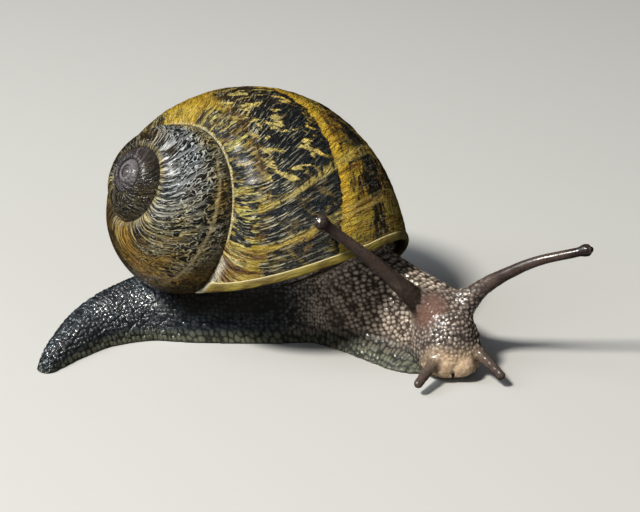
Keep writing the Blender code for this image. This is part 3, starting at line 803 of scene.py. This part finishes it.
def make_skin(sutures):
    """One closed surface round the flesh: a net of quads, divided once, settled, and raised by its relief."""
    flesh = Flesh(sutures)
    low = np.array((*SKIN_LOW, -2 * SKIN_GRID + 0.02))
    high = np.array(SKIN_HIGH)
    axes = [np.arange(low[k], high[k] + SKIN_GRID, SKIN_GRID) for k in range(3)]
    points, quads = surface_net(near_field(flesh, axes), low, SKIN_GRID)
    points, _ = settle(points, flesh, 2)
    draft = add_mesh("draft", points, quads)
    finer = draft.modifiers.new("finer", "SUBSURF")
    finer.levels = finer.render_levels = 1
    graph = bpy.context.evaluated_depsgraph_get()
    mesh = bpy.data.meshes.new_from_object(draft.evaluated_get(graph))
    bpy.data.objects.remove(draft, do_unlink=True)
    points = np.empty(len(mesh.vertices) * 3, np.float32)
    mesh.vertices.foreach_get("co", points)
    points = points.reshape(-1, 3).astype(float) / MM
    faces = np.empty(len(mesh.loops), np.int32)
    mesh.loops.foreach_get("vertex_index", faces)
    points, normal = settle(points, flesh, 1)
    relief, marks = skin_relief(flesh, points)
    points = points + normal * relief[:, None]
    points[:, 2] = np.maximum(points[:, 2], 0)
    return add_mesh("skin", points, faces.reshape(-1, 4), marks)


def make_eye(side):
    low, high = (np.array(corner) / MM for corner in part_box(f"eye_{side}"))
    rise = np.linspace(-math.pi / 2, math.pi / 2, 33)[:, None]
    around = np.linspace(0, 2 * math.pi, 65)
    ball = columns(np.cos(rise) * np.cos(around), np.cos(rise) * np.sin(around), np.sin(rise))
    points = (low + high) / 2 + ball * (high - low) / 2
    return add_mesh(f"eyeball_{side}", points.reshape(-1, 3), grid_faces(len(rise), len(around)))


# ---------------------------------------------------------------- materials


def reckoning(operation):
    return lambda value, other: value.paint.math(operation, value, other)


class Value:
    """A shader node's output to reckon with: each sum, product, rise or ramp adds a node."""

    __add__ = reckoning("ADD")
    __sub__ = reckoning("SUBTRACT")
    __mul__ = reckoning("MULTIPLY")
    most = reckoning("MAXIMUM")

    def __init__(self, paint, socket):
        self.paint, self.socket = paint, socket

    def __rsub__(self, other):
        return self.paint.math("SUBTRACT", other, self)

    def rise(self, low, high, out_low=0.0, out_high=1.0):
        """A smooth step from out_low to out_high between two values."""
        range_ends = {"From_Min": low, "From_Max": high, "To_Min": out_low, "To_Max": out_high}
        node = self.paint.node("MapRange", {"interpolation_type": "SMOOTHSTEP"}, Value=self, **range_ends)
        return Value(self.paint, node.outputs["Result"])

    def fall(self, low, high, top=1.0):
        return self.rise(low, high, top, 0.0)

    def ramp(self, stops):
        node = self.paint.node("ValToRGB", Fac=self)
        elements = node.color_ramp.elements
        while len(elements) < len(stops):
            elements.new(0.5)
        for element, (place, _) in zip(elements, stops):
            element.position = place
        for element, (_, colour) in zip(elements, stops):
            element.color = (*colour, 1)
        return Value(self.paint, node.outputs["Color"])

    def profile(self, stops, span=(0, 1)):
        """A curve of (place, level) stops over a span. A ramp has 256 steps, so a long span softens it."""
        start, end = span
        place = self.paint.math("DIVIDE", self - start, end - start)
        return place.ramp([((stop - start) / (end - start), (level,) * 3) for stop, level in stops])

    def under(self, *layers):
        """This colour with layers over it, the first one lowest: each is a colour and how much shows."""
        result = self
        for colour, amount in layers:
            result = self.paint.mix(result, colour, amount)
        return result


class Paint:
    """A material being built from nodes. Inputs are named with _ for a space, and colours have no alpha."""

    def __init__(self, name, **inputs):
        self.material = bpy.data.materials.new(name)
        self.material.use_nodes = True
        self.tree = self.material.node_tree
        self.shader = self.tree.nodes["Principled BSDF"]
        self.put(self.shader, **inputs)

    def put(self, node, **inputs):
        for key, value in inputs.items():
            self.link(node.inputs[key.replace("_", " ")], value)

    def link(self, socket, value):
        if isinstance(value, Value):
            self.tree.links.new(value.socket, socket)
        else:
            socket.default_value = (*value, 1) if socket.type == "RGBA" else value

    def node(self, kind, settings=None, **inputs):
        node = self.tree.nodes.new(f"ShaderNode{kind}")
        for key, value in (settings or {}).items():
            setattr(node, key, value)
        self.put(node, **inputs)
        return node

    def math(self, operation, a, b):
        node = self.node("Math", {"operation": operation})
        self.link(node.inputs[0], a)
        self.link(node.inputs[1], b)
        return Value(self, node.outputs[0])

    def mix(self, a, b, factor):
        node = self.node("Mix", {"data_type": "RGBA"})
        for index, value in ((0, factor), (6, a), (7, b)):
            self.link(node.inputs[index], value)
        return Value(self, node.outputs[2])

    def number(self, name):
        return Value(self, self.node("Attribute", {"attribute_name": name}).outputs["Fac"])

    def numbers(self, name):
        vector = self.node("Attribute", {"attribute_name": name}).outputs["Vector"]
        return [Value(self, part) for part in self.node("SeparateXYZ", Vector=Value(self, vector)).outputs]

    def place(self, x, y, z=0.0):
        return Value(self, self.node("CombineXYZ", X=x, Y=y, Z=z).outputs[0])

    def noise(self, place, detail=2.0, roughness=0.5, distortion=0.0, scale=1.0):
        place = self.place(*place) if isinstance(place, tuple) else place
        sizes = {"Scale": scale, "Detail": detail, "Roughness": roughness, "Distortion": distortion}
        return Value(self, self.node("TexNoise", Vector=place, **sizes).outputs["Fac"])

    def cells(self, place, scale):
        return Value(self, self.node("TexVoronoi", Vector=place, Scale=scale).outputs["Distance"])

    def finish(self, height, distance, strength, **inputs):
        bump = self.node("Bump", Height=height, Distance=distance, Strength=strength)
        self.put(self.shader, Normal=Value(self, bump.outputs[0]), **inputs)
        return self.material


# The shell's colours.
CREAM = (0.56, 0.49, 0.24)
PALE_CREAM = (0.66, 0.58, 0.36)
CHALK = (0.74, 0.70, 0.56)
PALE_GREEN = (0.34, 0.31, 0.085)
OLIVE = (0.32, 0.26, 0.035)
OCHRE = (0.38, 0.255, 0.022)
AMBER = (0.57, 0.35, 0.028)
TONGUE = (0.60, 0.50, 0.17)
RUNG = (0.42, 0.40, 0.15)
REST_LINE = (0.50, 0.39, 0.10)
GOLD_THREAD = (0.46, 0.34, 0.09)
SCRATCH = (0.40, 0.37, 0.25)
ORANGE_BROWN = (0.16, 0.075, 0.010)
WARM_BLACK = (0.018, 0.011, 0.006)
RED_BROWN = (0.14, 0.045, 0.018)
DARK_RED = (0.045, 0.014, 0.006)
BROWN = (0.050, 0.030, 0.010)
DEEP_BROWN = (0.018, 0.011, 0.005)
BLACK_BROWN = (0.0085, 0.0085, 0.007)
BLUE_BLACK_SHEEN = (0.008, 0.0105, 0.013)
# The spire's wrinkles with their painted bluish highlight, its fine lines, its first whorls, and its painted
# shade.
WRINKLE_GREY = (0.30, 0.28, 0.20)
WRINKLE_TAN = (0.34, 0.28, 0.13)
WRINKLE_GOLD = (0.34, 0.21, 0.04)
WRINKLE_PAINTED_HIGHLIGHT = (0.40, 0.44, 0.48)
SUTURE_RAYS = (0.36, 0.31, 0.18)
SPIRE_LINE = (0.36, 0.27, 0.12)
FIRST_WHORLS = (0.034, 0.028, 0.030)
FIRST_LINES = (0.17, 0.15, 0.15)
NUCLEUS = (0.13, 0.115, 0.12)
PAINTED_SHADE_BROWN = (0.014, 0.010, 0.008)

# Markings of the shell as (place, level). Places are ages in mm, where 0 is the lip, or shares of the way
# down from the suture.
AGES = (-80, 12)
# How dark the body whorl is: bands by share, then zones by age.
BANDS = (
    (0.0, 0.0), (0.014, 0.1), (0.024, 0.95), (0.1, 1.0), (0.118, 0.5), (0.145, 0.5), (0.168, 0.95),
    (0.228, 0.92), (0.24, 0.75), (0.258, 1.1), (0.299, 1.15), (0.306, 0.0), (0.322, 0.02), (0.332, 0.36),
    (0.372, 0.48), (0.386, 0.95), (0.415, 0.9), (0.432, 0.42), (0.58, 0.62), (0.66, 0.4), (0.72, 0.8),
    (0.78, 0.4), (1.0, 0.1),
)
ZONES = (
    (-52.0, 0.95), (-42.6, 0.95), (-41.0, 0.4), (-35.0, 0.3), (-29.5, 0.85), (-26.0, 1.05), (-11.9, 1.05),
    (-11.4, 0.65), (-10.8, 0.65), (-10.4, 1.0), (-5.7, 1.05), (-5.4, 0.4), (-4.9, 0.4), (-4.2, 0.62),
    (-1.3, 0.7), (-0.8, 0.3), (0.0, 0.5), (2.5, 0.55), (4.0, 0.5), (12.0, 0.1),
)
# Where fine pale scratches cross the dark bands, by share.
SCRATCHES = ((0.04, 0.7), (0.1, 1.0), (0.18, 0.9), (0.24, 0.4), (0.3, 0.15), (1, 0.15))
# Where yellow tongues break the dark bands, by share and by age.
FLAMES = ((0, 0.1), (0.12, 0.4), (0.155, 1.0), (0.285, 1.0), (0.3, 0.2), (0.42, 0.5), (1, 0.2))
FLAME_AGES = ((-33, 0.3), (-30, 1), (-12.5, 1), (-11.5, 0.25), (-2, 0.3), (0, 0))
# Where growth stopped for a while, pale lines run across the bands, by age.
RESTS = (
    (-11.8, 0), (-11.3, 0.85), (-10.7, 0.9), (-10.3, 0), (-5.95, 0), (-5.65, 1), (-5.4, 0), (-5.15, 0),
    (-4.85, 1), (-4.55, 0),
)
# Where the ground is amber without a band, by age, and the clear stripe, by share.
AMBER_AGES = ((-43, 0), (-41, 0.8), (-34, 0.9), (-31, 0))
STRIPE = ((0.298, 0), (0.306, 1), (0.322, 1), (0.333, 0))
# The spire: ages in a longer span, how far painted shade darkens it and where its pale wrinkles get a
# painted bluish highlight, by age, then where that painted highlight lies and where one fine thread runs, by
# share.
SPIRE_AGES = (-140, -50)
SPIRE_PAINTED_SHADE = (
    (-140, 0), (-126, 0), (-122, 0.7), (-113, 0.75), (-110.5, 0.15), (-108.5, 0.15), (-107, 0.8),
    (-102, 0.75), (-96, 0), (-69, 0), (-65, 0.85), (-54, 0),
)
PAINTED_HIGHLIGHT_SPAN = (-120, -50)
PAINTED_HIGHLIGHT_AGES = ((-98, 0), (-92, 1), (-85, 1), (-79, 0))
PAINTED_HIGHLIGHT_SHARES = ((0.05, 0), (0.1, 1), (0.26, 1), (0.34, 0))
SPIRE_THREAD = ((0.336, 0), (0.342, 1), (0.347, 1), (0.353, 0))
# A share of 1 as a length, so that noise has about one scale both ways.
SHARE_LENGTH = 34.0


def young_shell(paint, grown, share, across):
    """Colour and relief of the body whorl: dark bands with pale tongues, and an amber stripe."""
    fine = paint.noise((grown * 3.6, across * 0.7), 3.0, 0.7)
    streak = paint.noise((grown * 1.6, across * 0.16, 3.0), 4.0, 0.65)
    broad = paint.noise((grown * 0.45, across * 0.2, 8.0))
    spiral = paint.noise((grown * 0.6, across * 3.6, 5.0), 3.0, 0.6)
    waver = paint.noise((grown * 0.7, across * 0.8, 1.0), 3.0)
    edge = share + (waver - 0.5) * 0.03

    lean = across - grown * 0.5
    tongue = paint.noise((lean * 1.15, grown * 0.36, 2.0), 3.0, 0.6, 0.5)
    flame = tongue.rise(0.52, 0.6) * edge.profile(FLAMES) * grown.profile(FLAME_AGES, AGES)
    ladder = paint.noise((grown * 1.15, across * 0.3, 11.0), 3.0, 0.6)
    rungs = ladder.rise(0.52, 0.56) * share.fall(0.11, 0.135)
    dark = edge.profile(BANDS) * grown.profile(ZONES, AGES) + (streak - 0.5) * 0.9
    dark = (dark + (spiral - 0.5) * share.rise(0.3, 0.34, 0.6, 1.5)).rise(0.34, 0.56)
    dark = dark * (1.0 - flame.most(rungs))

    # The newest shell, by the suture at the lip, has red-brown and cream streaks, then chalk.
    fresh = grown.rise(-5.5, -3.0) * share.fall(0.09, 0.15)
    streaks = streak.ramp(((0.43, DARK_RED), (0.49, RED_BROWN), (0.54, OCHRE), (0.61, CREAM)))
    chalk = grown.rise(-1.8, -0.6) * share.fall(0.03, 0.07, 0.8) * streak.rise(0.38, 0.52, 0.25)
    last = grown.rise(-5.0, -4.0)
    olive = last * streak.rise(0.4, 0.6) * (0.9 - fresh * 0.9)
    dark = dark * (1.0 - fresh * 0.75)

    tint = streak * 0.75 + broad * 0.5 - 0.14 + share.fall(0.09, 0.13, 0.12)
    grounds = ((0.28, BROWN), (0.43, ORANGE_BROWN), (0.56, OCHRE), (0.68, PALE_GREEN), (0.84, CREAM))
    ground = tint.ramp(grounds).under(
        (RUNG, rungs * streak.rise(0.35, 0.65)),
        (AMBER, edge.profile(STRIPE) * (streak * 0.9 + 0.4)),
        (paint.mix(TONGUE, AMBER, share.rise(0.24, 0.31)), flame * 0.85),
        (BROWN, share.rise(0.4, 0.6, 0.0, 0.8)),
        (PALE_CREAM, edge.fall(0.008, 0.02) * (streak * 2.4 - 0.25)),
        (AMBER, grown.profile(AMBER_AGES, AGES) * (broad * 1.4 - 0.1)),
        (streaks, fresh * 0.95),
        (CHALK, chalk),
        (OLIVE, olive * 0.65),
    )

    warm = (grown + broad * 12.0 - 6.0).fall(-30.0, -22.0, 0.75)
    # The dark bands are near black; near the suture they get a painted bluish sheen.
    band_sheen = share.fall(0.26, 0.34) * (1.0 - last)
    rest = grown.profile(RESTS, AGES) * share.rise(0.1, 0.16) * (spiral + streak).rise(0.85, 1.1)
    threads = fine.rise(0.5, 0.62) * (streak * 1.3 - 0.12)
    colour = ground.under(
        (paint.mix(BLACK_BROWN, BLUE_BLACK_SHEEN, band_sheen).under((BROWN, warm)), dark),
        (REST_LINE, rest * 0.85),
        (GOLD_THREAD, threads * (0.75 - dark * 0.75) * (1.0 - fresh * 0.8)),
        (SCRATCH, fine.rise(0.54, 0.61) * share.profile(SCRATCHES) * dark),
        (DEEP_BROWN, fine.fall(0.36, 0.46, 0.65)),
    )
    return colour, fine + streak * 0.6


def old_shell(paint, grown, share, down, turn):
    """Colour and relief of the spire: nearly black, under a net of pale wrinkles."""
    streak = paint.noise((grown * 1.5, down * 0.35, 3.0), 3.0, 0.65)
    lines = paint.noise((grown * 2.6, down * 0.4, 4.0), 2.0, 0.6, 0.3)
    net = paint.noise((grown * 1.6, down * 1.3, 6.0), 1.0, 0.5, 0.9)
    worms = paint.math("ABSOLUTE", net * 2.0 - 1.0, 0.0).fall(0.05, 0.12)
    netted = share.rise(0.1, 0.22)
    radial = lines.rise(0.49, 0.56) * (0.9 - netted * 0.55)
    wrinkle = (worms * netted).most(radial)
    mottle = paint.noise((grown * 0.4, down * 0.35, 9.0), 3.0)
    warm = mottle + grown.rise(-77.0, -70.0, 0.0, 0.3)
    ground = warm.ramp(((0.5, BLACK_BROWN), (0.64, WARM_BLACK), (0.78, BROWN), (0.92, ORANGE_BROWN)))
    # Painted highlight: over part of the spire the pale wrinkles are painted bluish-white, in place of a
    # glint on them.
    wrinkle_highlight = grown.profile(PAINTED_HIGHLIGHT_AGES, PAINTED_HIGHLIGHT_SPAN) * share.profile(PAINTED_HIGHLIGHT_SHARES)
    wrinkles = warm.ramp(((0.4, WRINKLE_GREY), (0.55, WRINKLE_TAN), (0.75, WRINKLE_GOLD)))
    wrinkles = wrinkles.under((WRINKLE_PAINTED_HIGHLIGHT, wrinkle_highlight * 0.8))
    young = turn.rise(-13.0, -11.0)
    rays = share.fall(0.03, 0.1) * (young * 0.9 + 0.1) * streak.rise(0.46, 0.6)
    thread = share.profile(SPIRE_THREAD) * grown.rise(-88.0, -82.0)
    colour = ground.under(
        (wrinkles, wrinkle * (young * 0.85 + 0.07)),
        (SUTURE_RAYS, rays * 0.75),
        (SPIRE_LINE, thread * 0.7),
        (BLACK_BROWN, share.rise(0.355, 0.39) * 0.6),
        (FIRST_WHORLS, turn.fall(-14.5, -12.0, 0.92)),
        (FIRST_LINES, lines.rise(0.52, 0.62) * turn.fall(-14.0, -12.0, 0.4)),
        (NUCLEUS, turn.fall(-20.5, -17.5, 0.9)),
        # Painted shade: dark brown laid over parts of the older whorls, by age.
        (PAINTED_SHADE_BROWN, grown.profile(SPIRE_PAINTED_SHADE, SPIRE_AGES)),
    )
    return colour, wrinkle * young + lines * 0.7


def shell_material(name):
    paint = Paint(name, Coat_Weight=0.14, Coat_Roughness=0.23, Specular_IOR_Level=0.3)
    turn, share, _ = paint.numbers("coil")
    age, down, _ = paint.numbers("grain")
    across = share * SHARE_LENGTH
    sway = paint.noise((age * 0.3, across * 0.25))
    jitter = paint.noise((age * 1.5, across * 1.6))
    grown = age + (sway - 0.5) * 0.5 + (jitter - 0.5) * 0.3
    young_colour, young_height = young_shell(paint, grown, share, across)
    old_colour, old_height = old_shell(paint, grown, share, down, turn)
    young = grown.rise(-58.0, -50.0)
    colour = old_colour.under((young_colour, young))
    height = young_height * young + old_height
    return paint.finish(height, 0.0005, 1.0, Base_Color=colour, Roughness=height.rise(0.8, 1.6, 0.22, 0.38))


# The pale crest of the lip, by the place across it in mm.
CREST = ((-1.1, 0.85), (-0.98, 0.8), (-0.88, 0.05), (-0.5, 0), (5, 0))
CREST_SPAN = (-1.2, 5)
LIP_BAND = ((0.17, 0.13, 0.022), (0.085, 0.056, 0.010))
LIP_STAIN = (0.045, 0.026, 0.006)
LIP_CREST = (0.50, 0.44, 0.24)
INNER_WALL_PAINTED_SHADE = (0.05, 0.036, 0.022)
LIP_PAINTED_SHADE = (0.06, 0.045, 0.02)


def lip_material():
    paint = Paint("lip", Roughness=0.6, Specular_IOR_Level=0.2)
    place, share, _ = paint.numbers("coil")
    along = share * SHARE_LENGTH
    stain = paint.noise((along, place * 0.5), 3.0, scale=0.6)
    colour = paint.mix(*LIP_BAND, stain.rise(0.38, 0.66)).under(
        (LIP_STAIN, place.rise(-0.4, 0.0) * stain.rise(0.42, 0.58) * 0.8),
        (LIP_CREST, place.profile(CREST, CREST_SPAN)),
        (CHALK, share.fall(0.012, 0.05, 0.85)),
        # Painted shade: the inner wall behind the rim is painted dark.
        (INNER_WALL_PAINTED_SHADE, place.rise(0.3, 1.2)),
        # Painted shade: the lip is darkened past about the middle of its length.
        (LIP_PAINTED_SHADE, share.rise(0.44, 0.5, 0.0, 0.6)),
    )
    height = paint.noise((along, place * 3.0), 3.0, scale=1.6)
    return paint.finish(height, 0.0002, 0.8, Base_Color=colour)


# The skin's colours: the first three at the tail, then at the neck, the others in the dark, then in the pale.
GROOVE = ((0.009, 0.011, 0.013), (0.052, 0.038, 0.028))
BETWEEN = ((0.024, 0.028, 0.031), (0.21, 0.17, 0.14))
RAISED = ((0.046, 0.055, 0.063), (0.46, 0.39, 0.32))
CROWN = ((0.046, 0.036, 0.034), (0.21, 0.17, 0.145))
LEDGE = ((0.014, 0.013, 0.012), (0.080, 0.072, 0.062))
FOOT_RIM = ((0.020, 0.021, 0.016), (0.095, 0.098, 0.068))
LIPS = ((0.36, 0.25, 0.16), (0.54, 0.41, 0.28))
STALKS = ((0.034, 0.022, 0.018), (0.062, 0.042, 0.034))
BARE_SKIN = (0.15, 0.082, 0.062)
SHADED_SKIN = (0.016, 0.012, 0.009)
TENTACLE_TIP = (0.016, 0.011, 0.011)
# Where the shell shades the body, by mm from the tail's tip.
UNDER_SHELL = ((14, 0), (19, 1), (26.5, 1), (31, 0))
BODY_SPAN = (0, 60)


def skin_material():
    """Wet skin: bluish black at the tail, grey-brown at the neck, with a green-grey rim and buff lips."""
    paint = Paint("skin", Coat_Roughness=0.06, Subsurface_Weight=0.2, Subsurface_Scale=0.0006)
    paint.put(paint.shader, Subsurface_Radius=(1.0, 0.55, 0.35))
    bump, foot, mantle = paint.numbers("relief")
    tentacle, mouth, head = paint.numbers("region")
    along, left, up = paint.numbers("body")
    place = paint.place(along, left, up)
    patch = paint.noise(place, 3.0, scale=0.35)
    speck = paint.noise(place, 4.0, 0.65, scale=2.2)
    front = along.rise(28.0, 36.0)
    shade = along.profile(UNDER_SHELL, BODY_SPAN) * up.rise(2.0, 4.5)

    tone = bump + (speck - 0.5) * 0.4
    groove = paint.mix(*GROOVE, front)
    colour = groove.under(
        (paint.mix(*BETWEEN, front), tone.rise(0.15, 0.55)),
        (paint.mix(*RAISED, front), tone.rise(0.5, 0.95)),
        (groove, patch.rise(0.45, 0.75, 0.0, 0.5)),
        (paint.mix(*CROWN, bump.rise(0.3, 1.0)), head * 0.7),
        (BARE_SKIN, paint.number("bare") * 0.85),
        (paint.mix(*LEDGE, bump.rise(0.3, 1.0)), foot * front * 0.9),
        (paint.mix(*FOOT_RIM, bump.rise(0.2, 0.95)), foot * up.fall(0.5, 1.9)),
        (SHADED_SKIN, mantle.most(shade * 0.75)),
        (paint.mix(*LIPS, speck.rise(0.35, 0.7)), mouth * bump.rise(0.1, 0.45, 0.75)),
        (paint.mix(*STALKS, patch.rise(0.35, 0.7)), tentacle * 0.95),
        (TENTACLE_TIP, paint.number("tip").rise(0, 1) * 0.85),
    )

    # Dull below the shell and along the front of the foot, and wettest at the tail, which glitters.
    dull = mantle.most(shade).most(foot * front)
    wet = (0.9 - dull * 0.75) * (1.0 - tentacle * 0.82) * (1.0 - head * 0.6)
    rough = speck.rise(0.3, 0.7, 0.11, 0.24) + tentacle * 0.1 + shade * 0.25 + dull * 0.2
    paint.put(paint.shader, Specular_IOR_Level=0.5 - dull * 0.42, Coat_Weight=wet)
    glitter = along.fall(12.0, 20.0, 3.4) + 1.0
    height = (speck * 1.2 - paint.cells(place, 4.4)) * (glitter * (1.0 - tentacle * 0.85))
    return paint.finish(height, 0.00008, 0.5, Base_Color=colour, Roughness=rough)


def eye_material():
    return Paint(
        "eye", Base_Color=(0.006, 0.005, 0.006), Roughness=0.06, Coat_Weight=1.0, Coat_Roughness=0.03
    ).material


# ---------------------------------------------------------------- scene

# What the camera looks at in mm, how far it looks down in degrees, its distance in mm, and its lens in mm.
CAMERA_FOCUS = (1.1, 0.35, 8.1)
CAMERA_TILT = 25
CAMERA_DISTANCE = 182
CAMERA_LENS = 100
# Each light: its name, place in metres, size, power and colour.
LIGHTS = (
    ("key", (-0.24, -0.2, 0.42), 0.09, 5.0, (1.0, 0.97, 0.9)),
    ("sky", (-0.3, -0.05, 0.3), 0.25, 0.9, (0.8, 0.9, 1.0)),
    ("fill", (0.42, -0.32, 0.22), 0.3, 0.35, (0.92, 0.96, 1.0)),
)
LIGHT_AIM = (0, 0, 0.008)
FLOOR_CORNERS = ((-900, -900, 0), (900, -900, 0), (900, 900, 0), (-900, 900, 0))


def make_camera():
    tilt = math.radians(CAMERA_TILT)
    data = bpy.data.cameras.new("camera")
    data.lens = CAMERA_LENS
    data.sensor_width = 36
    data.clip_start = 0.01
    data.clip_end = 10
    camera = add_object("camera", data)
    back = Vector((0, -math.cos(tilt), math.sin(tilt))) * CAMERA_DISTANCE * MM
    camera.location = Vector(CAMERA_FOCUS) * MM + back
    camera.rotation_euler = (math.pi / 2 - tilt, 0, 0)
    bpy.context.scene.camera = camera


def add_area_light(name, place, size, power, colour):
    data = bpy.data.lights.new(name, "AREA")
    data.shape = "DISK"
    data.size = size
    data.energy = power
    data.color = colour
    light = add_object(name, data)
    light.location = place
    aim = Vector(LIGHT_AIM) - Vector(place)
    light.rotation_euler = aim.to_track_quat("-Z", "Y").to_euler()
    return light


def make_studio():
    """A pale floor and soft light. Only the key and the sky lamp are reflected, so that darks stay dark."""
    floor = add_mesh("floor", FLOOR_CORNERS, [[0, 1, 2, 3]], smooth=False)
    floor.data.materials.append(Paint("floor", Base_Color=(0.38, 0.375, 0.36), Roughness=0.8).material)
    floor.visible_glossy = False
    world = bpy.data.worlds.new("studio")
    world.use_nodes = True
    background = world.node_tree.nodes["Background"].inputs
    background["Color"].default_value = (0.9, 0.93, 1.0, 1)
    background["Strength"].default_value = 0.13
    world.cycles_visibility.glossy = False
    bpy.context.scene.world = world
    for name, *settings in LIGHTS:
        light = add_area_light(name, *settings)
        light.visible_glossy = name != "fill"
    bpy.context.scene.view_settings.view_transform = "Standard"


def make_snail():
    sutures = Sutures()
    spire, body = make_shell(sutures, Growth())
    edge = make_lip(sutures)
    spire.data.materials.append(shell_material("spire"))
    body.data.materials.append(shell_material("body_whorl"))
    edge.data.materials.append(lip_material())
    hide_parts("shell_apex", "shell_penultimate_whorl")
    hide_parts("shell_body_whorl")
    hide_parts("shell_lip")
    skin = make_skin(sutures)
    skin.data.materials.append(skin_material())
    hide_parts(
        *["tail", "foot_rear", "foot_middle", "foot_front", "trunk", "neck", "head", "mouth"],
        *[f"tentacle_{side}_{name}" for side in ("right", "left") for name in ("base", "middle", "tip")],
        *["tentacle_lower_right", "tentacle_lower_left"],
    )
    slots = {spire: "spire", body: "body_whorl", edge: "lip", skin: "neck"}
    for side in ("left", "right"):
        eye = make_eye(side)
        eye.data.materials.append(eye_material())
        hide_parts(f"eye_{side}")
        slots[eye] = "eye"
    for piece, slot in slots.items():
        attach(piece, "root")


make_snail()
make_camera()
make_studio()
